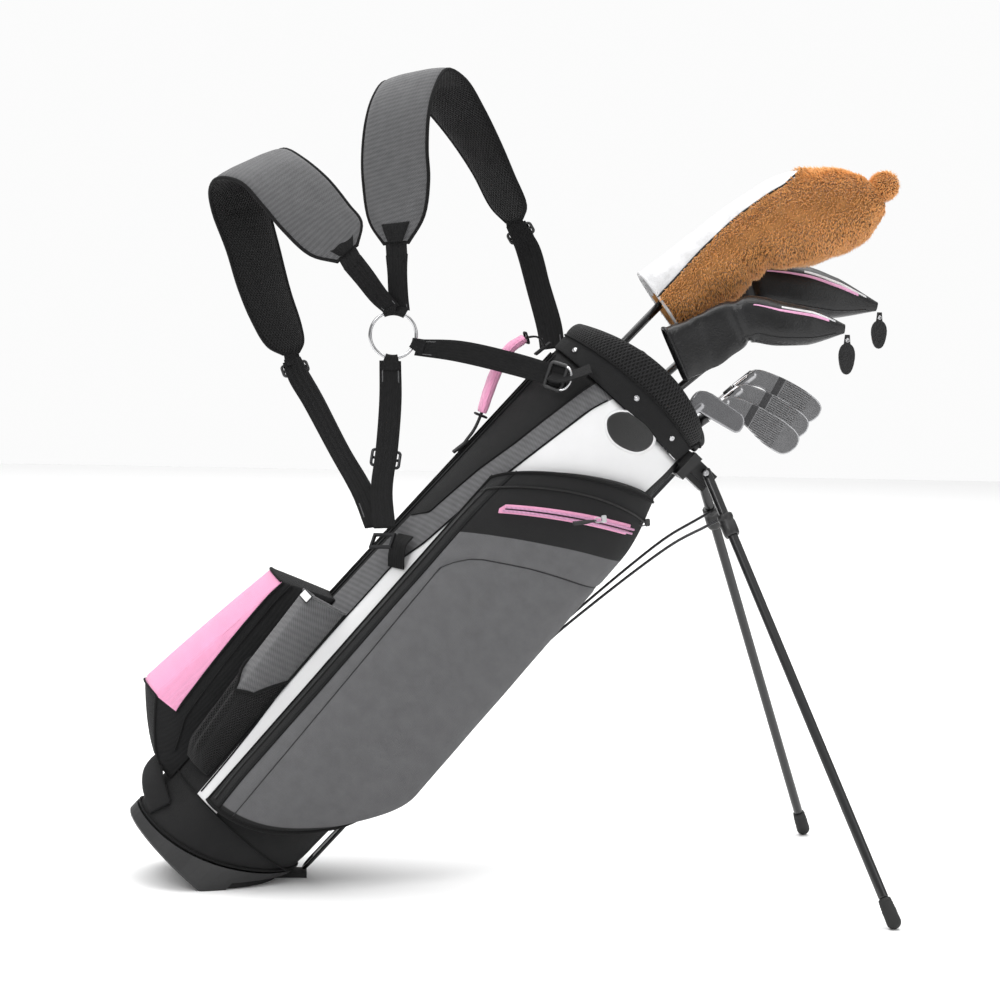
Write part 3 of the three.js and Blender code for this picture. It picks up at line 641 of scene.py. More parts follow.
def finish_named(name):
    """Starts a material and gives its graph, its surface shader and its cloth and solid coordinates."""
    material = bpy.data.materials.new(name)
    material.use_nodes = True
    graph = Graph(material.node_tree)
    surface = material.node_tree.nodes["Principled BSDF"]
    places = graph.node("ShaderNodeTexCoord").outputs
    FINISHES[name] = material
    return graph, surface, places["UV"], places["Object"]


def raise_surface(g, surface, height, distance):
    bump = g.node("ShaderNodeBump", {"Height": height, "Strength": 1.0, "Distance": distance})
    g.feed(surface.inputs["Normal"], bump.outputs[0])


def shaded(colour, share):
    return tuple(c * share for c in colour)


def tinted(g, colour, shade, depth=0.5):
    """The colour made lighter and darker by a 0..1 shade."""
    dark = shaded(colour, 1 - depth)
    light = tuple(min(1.0, c * (1 + depth)) for c in colour)
    return g.mix(g.ramp(shade, 0.1, 0.9, smooth=False), dark, light)


def make_woven(name, colour, pitch, depth=0.45, rough=0.78, weave="Plain Weave", bump=0.0003, sheen=0.25):
    g, surface, cloth, solid = finish_named(name)
    threads = g.group(weave, Vector=cloth, Pitch=pitch)
    rubbed = g.group("Dust", Vector=solid, Amount=0.12)["Mask"]
    base = tinted(g, colour, threads["Shade"], depth)
    pale = tuple(min(1.0, c * 1.5 + 0.03) for c in colour)
    g.feed(surface.inputs["Base Color"], g.mix(rubbed, base, pale))
    g.feed(surface.inputs["Roughness"], g.math("MULTIPLY_ADD", threads["Shade"], 0.2, rough - 0.1))
    surface.inputs["Sheen Weight"].default_value = sheen
    surface.inputs["Sheen Roughness"].default_value = 0.5
    surface.inputs["Specular IOR Level"].default_value = 0.2
    raise_surface(g, surface, threads["Height"], bump)


def make_netting(name, colour, cell, back):
    g, surface, cloth, solid = finish_named(name)
    net = g.group("Diamond Mesh", Vector=cloth, Cell=cell)
    soft = g.group("Fine Moulding", Vector=solid, Scale=900.0)
    cords = tinted(g, colour, soft["Shade"], 0.35)
    g.feed(surface.inputs["Base Color"], g.mix(net["Hole"], cords, back))
    g.feed(surface.inputs["Roughness"], g.math("MULTIPLY_ADD", net["Hole"], 0.2, 0.7))
    surface.inputs["Sheen Weight"].default_value = 0.06
    surface.inputs["Specular IOR Level"].default_value = 0.2
    raise_surface(g, surface, net["Height"], 0.0012)


def make_moulded(name, colour, rough, scale=1400.0, coat=0.0, bump=0.00012):
    g, surface, _, solid = finish_named(name)
    grain = g.group("Fine Moulding", Vector=solid, Scale=scale)
    marks = g.group("Dust", Vector=solid, Amount=0.18)["Mask"]
    pale = tuple(c * 2.0 + 0.03 for c in colour)
    g.feed(surface.inputs["Base Color"], g.mix(marks, tinted(g, colour, grain["Shade"], 0.3), pale))
    g.feed(surface.inputs["Roughness"], g.math("MULTIPLY_ADD", grain["Shade"], 0.22, rough - 0.1))
    surface.inputs["Coat Weight"].default_value = coat
    raise_surface(g, surface, grain["Height"], bump)


def make_metal(name, colour, rough, scale=60.0, spread=0.18, bump=0.00004):
    g, surface, _, solid = finish_named(name)
    lines = g.group("Brushed Lines", Vector=solid, Scale=scale)
    g.feed(surface.inputs["Base Color"], tinted(g, colour, lines["Shade"], 0.16))
    g.feed(surface.inputs["Roughness"], g.math("MULTIPLY_ADD", lines["Shade"], spread, rough - spread / 2))
    surface.inputs["Metallic"].default_value = 1.0
    raise_surface(g, surface, lines["Height"], bump)
    return g, surface, solid


def make_leather(name, colour, rough=0.3):
    g, surface, _, solid = finish_named(name)
    grain = g.group("Leather Grain", Vector=solid, Scale=700.0)
    g.feed(surface.inputs["Base Color"], tinted(g, colour, grain["Shade"], 0.45))
    g.feed(surface.inputs["Roughness"], g.math("MULTIPLY_ADD", grain["Shade"], 0.25, rough - 0.08))
    surface.inputs["Specular IOR Level"].default_value = 0.35
    surface.inputs["Coat Weight"].default_value = 0.05
    surface.inputs["Coat Roughness"].default_value = 0.3
    raise_surface(g, surface, grain["Height"], 0.0009)


SHELL_EDGES = {
    "white strap side": [(60, 125.0), (120, 127.0), (164, 129.5), (221, 134.0), (300, 136.0), (403, 137.0),
                         (445, 130.4),
                         (501, 126.1), (555, 120.8), (679, 107.3), (720, 97.5)],
    "white leg side": [(60, 104.0), (91, 106.6), (186, 113.1), (263, 122.0), (341, 123.0), (480, 122.4),
                       (551, 119.0), (590, 100.0), (612, 60.0), (640, 30.0), (720, 24.0)],
    "grey strap side": [(60, 125.0), (120, 127.0), (164, 129.5), (221, 134.0), (318, 136.2), (326, 165.0),
                        (454, 162.0), (471, 146.5), (543, 139.4),
                        (591, 131.9), (684, 121.4), (720, 116.0)],
}
SHELL_RANGE = (60.0, 720.0)
SKIRT_TOP = 0.074
SHELL_ROUNDNESS = 0.93


def shell_angle(g, solid):
    """The angle round the tube from the leg side, 0..180 degrees on both sides, and the height in mm."""
    x, y, z = g.split(solid)
    angle = g.math("ARCTAN2", g.absolute(y), g.times(x, SHELL_ROUNDNESS))
    return g.times(angle, 180 / math.pi), g.times(z, 1000.0)


def make_shell_cloth():
    """The sewn panels of the tube: black skirt, white stripe, ribbed grey panel and black spine."""
    g, surface, cloth, solid = finish_named("panelled_cloth")
    angle, height = shell_angle(g, solid)
    low, high = SHELL_RANGE
    edge = {key: g.curve(height, points, low, high) for key, points in SHELL_EDGES.items()}
    past_white = g.ramp(g.minus(angle, edge["white leg side"]), -0.12, 0.12)
    past_grey = g.ramp(g.minus(angle, edge["white strap side"]), -0.12, 0.12)
    past_black = g.ramp(g.minus(angle, edge["grey strap side"]), -0.12, 0.12)
    skirt = g.inverse(g.ramp(g.minus(height, SKIRT_TOP * 1000), -0.2, 0.2))
    weave = g.group("Plain Weave", Vector=cloth, Pitch=sizes().thread)
    rib = g.group("Slant Rib", Vector=cloth, Pitch=0.0019)
    black = tinted(g, colours().black, weave["Shade"], 0.4)
    grey = tinted(g, colours().grey, rib["Shade"], 0.4)
    scuffs = g.noise(solid, 40.0, 6.0, 0.7)
    white = g.mix(scuffs, shaded(colours().white, 0.93), colours().white)
    in_white = g.times(past_white, g.inverse(past_grey))
    in_grey = g.times(past_grey, g.inverse(past_black))
    above = g.inverse(skirt)
    coated = g.times(in_white, above)
    tone = g.mix(g.times(in_grey, above), black, grey)
    g.feed(surface.inputs["Base Color"], g.mix(coated, tone, white))
    g.feed(surface.inputs["Roughness"], g.math("MULTIPLY_ADD", coated, -0.32, 0.82))
    surface.inputs["Sheen Weight"].default_value = 0.03
    surface.inputs["Specular IOR Level"].default_value = 0.25
    relief = g.blend(in_grey, weave["Height"], rib["Height"])
    relief = g.times(relief, g.math("MULTIPLY_ADD", coated, -0.85, 1.0))
    soft = g.times(g.noise(solid, 9.0, 2.0), 3.0)
    raise_surface(g, surface, g.plus(relief, soft), 0.0004)


ZIP_TOOTH_PITCH = 0.0014
POCKET_BLACK = [(0.0, 0.815), (0.12, 0.815), (0.3, 0.819), (0.52, 0.826), (0.9, 0.84), (1.0, 0.845)]
POCKET_SEAM = [(0.0, 0.70), (0.16, 0.715), (0.2, 0.735), (0.25, 0.75), (0.3, 0.755), (0.52, 0.76),
               (0.9, 0.757), (1.0, 0.755)]
POCKET_BAND = 0.112
POCKET_LINE_EDGE = [(0.0, 0.215), (0.7, 0.165), (1.0, 0.16)]
POCKET_LINE = table(POCKET_LINE_EDGE)


def make_pocket_cloth():
    """The big pocket's front: grey below, black above, a black zip band and sewn lines."""
    g, surface, cloth, _ = finish_named("pocket_cloth")
    panel = g.node("ShaderNodeAttribute", attribute_name="panel").outputs["Vector"]
    a, b, _ = g.split(panel)
    top = g.curve(a, POCKET_BLACK, 0.0, 1.0)
    seam = g.curve(a, POCKET_SEAM, 0.0, 1.0)
    upper = g.ramp(g.minus(b, top), -0.0012, 0.0012)
    side = g.inverse(g.ramp(g.minus(a, POCKET_BAND), -0.003, 0.003))
    rim = g.ramp(g.math("MAXIMUM", g.minus(0.02, b), g.minus(a, 0.985)), -0.002, 0.002)
    dark = g.math("MAXIMUM", g.math("MAXIMUM", upper, side), rim)
    weave = g.group("Plain Weave", Vector=cloth, Pitch=sizes().thread)
    across = g.absolute(g.minus(b, seam))
    beside = g.minus(a, g.curve(b, POCKET_LINE_EDGE, 0.0, 1.0))
    inside = g.times(g.ramp(beside, -0.001, 0.001), g.inverse(upper))
    line = g.times(g.inverse(g.ramp(across, 0.0008, 0.0022)), inside)
    beside = g.absolute(beside)
    below = g.math("LESS_THAN", b, seam)
    edge_line = g.times(g.inverse(g.ramp(beside, 0.0012, 0.004)), below)
    sewn = g.math("MAXIMUM", line, edge_line)
    grey = tinted(g, colours().grey, weave["Shade"], 0.42)
    black = tinted(g, colours().black, weave["Shade"], 0.45)
    tone = g.mix(dark, grey, black)
    g.feed(surface.inputs["Base Color"], g.mix(sewn, tone, (0.03, 0.03, 0.032)))
    g.feed(surface.inputs["Roughness"], g.math("MULTIPLY_ADD", weave["Shade"], 0.2, 0.66))
    surface.inputs["Sheen Weight"].default_value = 0.04
    surface.inputs["Specular IOR Level"].default_value = 0.25
    relief = g.minus(weave["Height"], g.times(sewn, 6.0))
    raise_surface(g, surface, relief, 0.0003)


IRON_SLOPE = 0.42
IRON_FACE = -0.0035
IRON_ACROSS = (0.922, 0.387)
IRON_GROOVED = (0.0405, 0.0745)
IRON_BLASTED = (0.0315, 0.0395)


def make_iron_steel():
    """Satin steel with a grooved hitting area and dull sandblasted band beside it; the grooves are painted
    dark as shade.
    """
    g, surface, solid = make_metal("iron_steel", (0.52, 0.52, 0.53), 0.2, spread=0.08, bump=0.00001)
    x, y, z = g.split(solid)
    level = g.minus(z, g.times(x, IRON_SLOPE))
    wave = g.sine(g.times(level, 2 * math.pi / sizes().groove))
    facing_side = g.math("LESS_THAN", y, IRON_FACE)
    across = g.plus(g.times(x, IRON_ACROSS[0]), g.times(z, IRON_ACROSS[1]))
    inside = g.times(g.between(across, *IRON_GROOVED), facing_side)
    groove = g.times(g.ramp(wave, 0.35, 0.7), inside)
    band = g.times(g.between(across, *IRON_BLASTED), facing_side)
    lines = g.group("Brushed Lines", Vector=solid, Scale=60.0)
    steel = tinted(g, (0.42, 0.42, 0.43), lines["Shade"], 0.1)
    # The near-black colour in the grooves is painted shade.
    tone = g.mix(groove, steel, (0.1, 0.1, 0.102))
    g.feed(surface.inputs["Base Color"], g.mix(band, tone, (0.16, 0.16, 0.165)))
    raise_surface(g, surface, g.minus(lines["Height"], g.times(groove, 24.0)), 0.00002)


def make_plush():
    g, surface, _, solid = finish_named("plush_fibre")
    # The attribute runs from 0 at the fibre roots to 1 at the tips; the colour darkens toward the roots as
    # painted shade in the pile.
    tip = g.node("ShaderNodeAttribute", attribute_name="pile_shade").outputs["Fac"]
    patch = g.noise(solid, 30.0, 4.0, 0.6)
    light = tuple(min(1.0, c * 1.25 + 0.02) for c in colours().plush)
    shaded_root = shaded(colours().plush, 0.5)
    tone = g.mix(g.ramp(patch, 0.3, 0.7), tinted(g, colours().plush, tip, 0.3), light)
    g.feed(surface.inputs["Base Color"], g.mix(g.ramp(tip, 0.0, 0.75), shaded_root, tone))
    g.feed(surface.inputs["Roughness"], g.math("MULTIPLY_ADD", patch, 0.2, 0.55))
    surface.inputs["Sheen Weight"].default_value = 0.4
    raise_surface(g, surface, patch, 0.0002)


def make_zip_teeth(name, colour):
    g, surface, cloth, _ = finish_named(name)
    _, y, _ = g.split(cloth)
    teeth = g.sine(g.times(y, 2 * math.pi / ZIP_TOOTH_PITCH))
    g.feed(surface.inputs["Base Color"], tinted(g, colour, g.math("MULTIPLY_ADD", teeth, 0.4, 0.5), 0.5))
    g.feed(surface.inputs["Roughness"], g.math("MULTIPLY_ADD", teeth, 0.05, 0.45))
    raise_surface(g, surface, teeth, 0.0004)


def make_paper():
    g, surface, _, solid = finish_named("floor_paper")
    broad = g.noise(solid, 0.6, 3.0)
    g.feed(surface.inputs["Base Color"], tinted(g, (0.93, 0.93, 0.93), broad, 0.008))
    g.feed(surface.inputs["Roughness"], g.math("MULTIPLY_ADD", broad, 0.05, 0.9))


class GOLF_OT_finishes(bpy.types.Operator):
    """Builds the shared shader effects and every material"""

    bl_idname = "golf.finishes"
    bl_label = "Finishes"

    def execute(self, context):
        for make in EFFECT_MAKERS:
            make()
        tone, pitch = colours(), sizes().thread
        make_woven("grey_cloth", tone.grey, pitch, 0.42)
        make_woven("black_cloth", tone.black, pitch, 0.45, sheen=0.02)
        make_woven("pink_cloth", tone.pink, pitch, 0.14, 0.72, bump=0.00022)
        make_woven("white_cloth", tone.white, pitch, 0.05, 0.5, bump=0.0001, sheen=0.05)
        make_woven("pad_cloth", shaded(tone.grey, 0.78), pitch * 1.6, 0.45, weave="Slant Rib")
        make_woven("grey_rib", shaded(tone.grey, 0.9), 0.0024, 0.4, weave="Slant Rib", bump=0.0004)
        make_woven("webbing", shaded(tone.black, 0.75), 0.0017, 0.5, 0.8, "Strap Weave", 0.0005, 0.02)
        make_woven("binding", shaded(tone.black, 0.6), 0.0012, 0.4, 0.8, "Strap Weave", 0.0003, 0.02)
        make_woven("hook_patch", shaded(tone.black, 0.5), 0.0009, 0.6, 0.95, bump=0.0009)
        make_netting("cuff_netting", (0.012, 0.012, 0.0125), 0.0042, (0.003, 0.003, 0.003))
        make_netting("pocket_netting", (0.011, 0.011, 0.0115), 0.003, (0.004, 0.004, 0.004))
        make_netting("pad_netting", (0.01, 0.01, 0.0105), 0.0036, (0.003, 0.003, 0.003))
        make_moulded("black_plastic", (0.014, 0.014, 0.0145), 0.42)
        make_moulded("soft_plastic", (0.01, 0.01, 0.01), 0.6)
        make_moulded("foot_rubber", (0.012, 0.012, 0.012), 0.75, 700.0, bump=0.0003)
        make_moulded("grip_rubber", (0.016, 0.016, 0.017), 0.8, 1100.0, bump=0.0004)
        make_moulded("leg_enamel", (0.004, 0.004, 0.0045), 0.3, 500.0, coat=0.25, bump=0.00002)
        make_moulded("shaft_lacquer", (0.004, 0.004, 0.0045), 0.28, 400.0, coat=0.3, bump=0.00002)
        make_moulded("white_label", (0.7, 0.7, 0.7), 0.6)
        make_moulded("head_lacquer", (0.01, 0.01, 0.011), 0.25, 400.0, coat=0.5)
        make_metal("bright_steel", (0.5, 0.5, 0.51), 0.18)
        make_metal("black_steel", (0.045, 0.045, 0.047), 0.32)
        make_metal("satin_steel", (0.42, 0.42, 0.43), 0.38)
        make_metal("putter_steel", (0.3, 0.3, 0.31), 0.24, spread=0.05, bump=0.000006)
        make_metal("shaft_steel", (0.42, 0.42, 0.43), 0.2, spread=0.06, bump=0.00001)
        make_paper()
        make_leather("black_leather", tone.leather)
        make_leather("pink_leather", tone.pink, 0.45)
        make_leather("white_leather", (0.66, 0.66, 0.67), 0.45)
        make_shell_cloth()
        make_pocket_cloth()
        make_iron_steel()
        make_plush()
        make_zip_teeth("pink_zip", tone.pink)
        make_zip_teeth("black_zip", (0.012, 0.012, 0.012))
        return {"FINISHED"}


def dress(node, look):
    """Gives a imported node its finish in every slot."""
    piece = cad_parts[node]
    for slot in piece.material_slots:
        slot.material = FINISHES[look]
    for polygon in piece.data.polygons:
        polygon.use_smooth = False


# ------------------------------------------------------------------ the tube and its pockets

SHELL_HALF_WIDTH = (88.0, 96.0)
SHELL_HALF_DEPTH = (87.0, 84.0)
SHELL_TOP = 700.0


def on_shell(angle, height, proud=0.0):
    """A point of the tube, for an angle in degrees from the leg side."""
    turn = math.radians(angle)
    t = height / BAG_LENGTH
    x = (lerp(*SHELL_HALF_WIDTH, t) + proud) * math.cos(turn)
    return Vector((x, (lerp(*SHELL_HALF_DEPTH, t) + proud) * math.sin(turn), height))


def shell_normal(angle):
    turn = math.radians(angle)
    return Vector((math.cos(turn), math.sin(turn), 0))


def rim_height(angle):
    """Height of the base cup's rim, which rises toward the legs."""
    x = 90.0 * math.cos(math.radians(angle))
    return 29 + 0.36 * x + 0.0021 * x * x


def ripple(angle, height, size=1.0):
    """The slack of sewn cloth, as a small distance in or out."""
    a = math.radians(angle)
    return size * (
        0.45 * math.sin(3 * a + height * 0.011)
        + 0.3 * math.sin(5 * a - height * 0.023 + 1.3)
        + 0.2 * math.sin(height * 0.05 + 2 * a)
    )


def corded(name, points, radius=None, look="binding", steps=60, body="bag"):
    """A thin corded edge through points."""
    r = radius or sizes().piping / MM
    return tube(name, points, r, look, body, sides=8, steps=steps)


class GOLF_OT_shell(bpy.types.Operator):
    """Builds the sewn tube of the bag with its panels and corded seams"""

    bl_idname = "golf.shell"
    bl_label = "Bag Tube"

    def execute(self, context):
        columns, rows = 160, 96
        outer_rows = rows - 14

        def place(a, b):
            angle = a * 360 - 180
            i = b * (rows - 1)
            bottom = rim_height(angle) + 0.6
            top = SHELL_TOP - 0.8
            if i <= outer_rows:
                t = i / outer_rows
                height = lerp(bottom, top, t)
                inset = 1.2 * (1 - ease(min(t, 1 - t) * 30))
                return on_shell(angle, height, ripple(angle, height, 0.6) * ease(t * 12) - inset)
            t = (i - outer_rows) / (rows - 1 - outer_rows)
            return on_shell(angle, lerp(top, bottom, t), -3.4)

        piece = sheet_grid("bag_tube", rows, columns, place, "panelled_cloth", wrap=True)
        seal = [(rows - 1) * columns + j for j in range(columns)]
        with edited(piece.data) as shape:
            shape.verts.ensure_lookup_table()
            for j in range(columns):
                k = (j + 1) % columns
                corners = [shape.verts[v] for v in (seal[j], seal[k], k, j)]
                shape.faces.new(corners).smooth = True
        stands_for(piece, "bag_shell")
        self.seams()
        return {"FINISHED"}

    def seams(self):
        for side, word in ((-1, "near"), (1, "far")):
            for key, points in SHELL_EDGES.items():
                line = table(points)
                start = 456 if key == "grey strap side" else 80
                stop = 548 if key == "white leg side" else 694
                heights = sampled(lambda t: lerp(start, stop, t), 27)
                path = [on_shell(side * line(height), height, 0.9) for height in heights]
                corded(f"seam_{key.replace(' ', '_')}_{word}", path, 0.9, steps=90)
            for place, low, high, radius in (("", 176, 171, 1.1), ("_inner", 169, 164.5, 0.8)):
                path = sampled(lambda t: on_shell(side * lerp(low, high, t), lerp(330, 694, t), 0.9), 9)
                corded(f"seam_spine{place}_{word}", path, radius)
        around = [on_shell(angle, SKIRT_TOP / MM, 1.0) for angle in range(24, 337, 6)]
        corded("seam_skirt", around, 1.2, steps=120)
        ring = [on_shell(i * 6, rim_height(i * 6) + 3.4, 0.5) for i in range(60)]
        tube("seam_rim", ring, 1.5, "binding", sides=8, closed=True)


class GOLF_OT_cuff(bpy.types.Operator):
    """Builds the padded collar round the bag's mouth with its rivets and grab tab"""

    bl_idname = "golf.cuff"
    bl_label = "Top Cuff"

    WIDTH, DEPTH, TOP, RISE = 98.0, 86.0, 740.0, 22.0
    PROFILE = [
        (10.6, 0.0), (1.4, 0.0), (0.5, 0.02), (0.2, 0.1), (0.2, 0.4), (0.9, 0.44), (1.1, 0.46), (0.0, 0.49),
        (-1.0, 0.58), (-1.2, 0.7), (-0.6, 0.82), (1.2, 0.92), (3.4, 0.985), (5.8, 1.0), (8.2, 0.985),
        (10.2, 0.92), (11.2, 0.8), (11.4, 0.6), (11.0, 0.3), (10.8, 0.1),
    ]

    def place(self, angle, inset, t):
        turn = math.radians(angle)
        top = self.TOP + self.RISE * math.sin(turn) ** 2
        base = lerp(SHELL_TOP, 723.0, ease((30 - abs(angle)) / 3))
        height = lerp(base, top, t)
        ridge = 0.35 * math.sin(turn * 40) * (1 if 0.5 < t < 0.95 else 0)
        x = (self.WIDTH - inset) * math.cos(turn)
        return Vector((x, (self.DEPTH - inset + ridge) * math.sin(turn), height))

    RIVETS = ((-148, 711), (-91, 717), (-53, 713), (148, 711), (91, 717), (53, 713))

    def execute(self, context):
        columns, count = 180, len(self.PROFILE)
        verts, uv = [], []
        travelled = 0.0
        for i, (inset, t) in enumerate(self.PROFILE):
            if i:
                before = self.PROFILE[i - 1]
                travelled += math.hypot(inset - before[0], (t - before[1]) * 50) * MM
            for j in range(columns):
                angle = j * 360 / columns - 180
                verts.append(self.place(angle, inset, t))
                uv.append((math.radians(angle) * 0.09, travelled))
        faces = grid_faces(count, columns, wrap_rows=True, wrap_columns=True)
        picks = [1 if 6 <= index // columns <= 16 else 0 for index in range(len(faces))]
        looks = ["black_cloth", "cuff_netting"]
        piece = new_piece("cuff_collar", verts, faces, looks, uv=uv, picks=picks)
        applied(smoothed(piece))
        stands_for(piece, "top_cuff")
        edge = [self.place(j * 6 - 180, -0.4, 0.47) for j in range(60)]
        tube("cuff_piping", edge, 1.1, "binding", sides=8, closed=True)
        for number, (angle, height) in enumerate(self.RIVETS):
            self.rivet(f"cuff_rivet_{number}", angle, height)
        self.grab_tab()
        return {"FINISHED"}

    def rivet(self, name, angle, height):
        turn = math.radians(angle)
        spot = (self.WIDTH * math.cos(turn), self.DEPTH * math.sin(turn), height)
        space = facing(spot, shell_normal(angle), (0, 0, 1))
        turned(name,
               [(0.2, -1), (3.2, -1), (3.3, 0.4), (2.7, 1.2), (2.2, 1.0), (1.4, 1.1), (0.9, 2.0), (0.2, 2.2)],
               "bright_steel", "bag", space, sides=20)

    def grab_tab(self):
        space = facing((-2, 81, 742), (-0.25, 1, 0), (0, 0, 1))
        outline = [(x, y + 8) for x, y in oblong(19, 22, 10)]
        piece = slab("grab_tab", outline, 2.6, "webbing", space=space, bevel=0.9)


WELD_DISTANCE = 0.0002


class PocketPatch:
    """A pouch on the tube between angles and heights, given as functions of 0..1."""

    def __init__(self, outline, depth, gap=0.8):
        self.outline, self.depth, self.gap = outline, depth, gap

    def at(self, a, b, out=0.0):
        angle, height = self.outline(a, b)
        return on_shell(angle, height, self.gap + self.depth(a, b) + out)

    def foot(self, a, b):
        angle, height = self.outline(a, b)
        return on_shell(angle, height, self.gap)

    def build(self, name, columns, rows, looks, pick=None, wrinkle=0.0):
        """A closed pouch: its front, with the sides wrapped down to the tube, and its back."""
        verts, uv, panel = [], [], []
        for layer in range(2):
            for i in range(rows):
                for j in range(columns):
                    a, b = j / (columns - 1), i / (rows - 1)
                    angle, height = self.outline(a, b)
                    out = wrinkle * ripple(angle * 2, height * 1.5) if layer == 0 else 0.0
                    edge = min(a, 1 - a, b, 1 - b)
                    point = self.at(a, b, out * ease(edge * 10)) if layer == 0 else self.foot(a, b)
                    verts.append(point)
                    uv.append((math.radians(angle) * 0.105, height * MM))
                    panel.append((a, b, 0.0))
        front = rows * columns
        faces = grid_faces(rows, columns)
        count_front = len(faces)
        faces += [tuple(reversed([v + front for v in face])) for face in grid_faces(rows, columns)]
        border = [j for j in range(columns)]
        border += [i * columns + columns - 1 for i in range(1, rows)]
        border += [(rows - 1) * columns + j for j in range(columns - 2, -1, -1)]
        border += [i * columns for i in range(rows - 2, 0, -1)]
        for k, v in enumerate(border):
            w = border[(k + 1) % len(border)]
            faces.append((v, v + front, w + front, w))
        picks = None
        if pick:
            picks = []
            for index in range(len(faces)):
                if index < count_front:
                    i, j = divmod(index, columns - 1)
                    picks.append(pick((j + 0.5) / (columns - 1), (i + 0.5) / (rows - 1)))
                else:
                    picks.append(0)
        piece = new_piece(name, verts, faces, looks, uv=uv, picks=picks)
        store = piece.data.attributes.new("panel", "FLOAT_VECTOR", "POINT")
        for index, value in enumerate(panel):
            store.data[index].vector = value
        return piece


def shoulder(t, width):
    return math.sin(clamp(max(0.0, t) / width) * math.pi / 2)


def big_outline(a, b):
    bottom = 78 + 118 * a ** 2.2
    top = 548 + 104 * (1 - (1 - a) ** 2)
    return lerp(-117 - 9 * b, -21, a), lerp(bottom, top, b)


def big_depth(a, b):
    edge = shoulder(a, 0.12) * shoulder(1 - a, 0.07)
    ends = lerp(0.35, 1, shoulder(b, 0.12)) * lerp(0.3, 1, shoulder(1 - b, 0.16))
    bulge = lerp(30, 6, b) * math.exp(-(((a - 0.9) / 0.22) ** 2))
    seam = table(POCKET_SEAM)(a)
    dent = 1.6 * math.exp(-(((b - seam) / 0.008) ** 2)) * (1 if a > POCKET_LINE(b) else 0)
    dent += 1.3 * math.exp(-(((a - POCKET_LINE(b)) / 0.009) ** 2)) * (1 if b < seam else 0)
    dent += 1.6 * math.exp(-(((a - POCKET_BAND) / 0.007) ** 2))
    return 3 + edge * ends * (20 + bulge) - dent


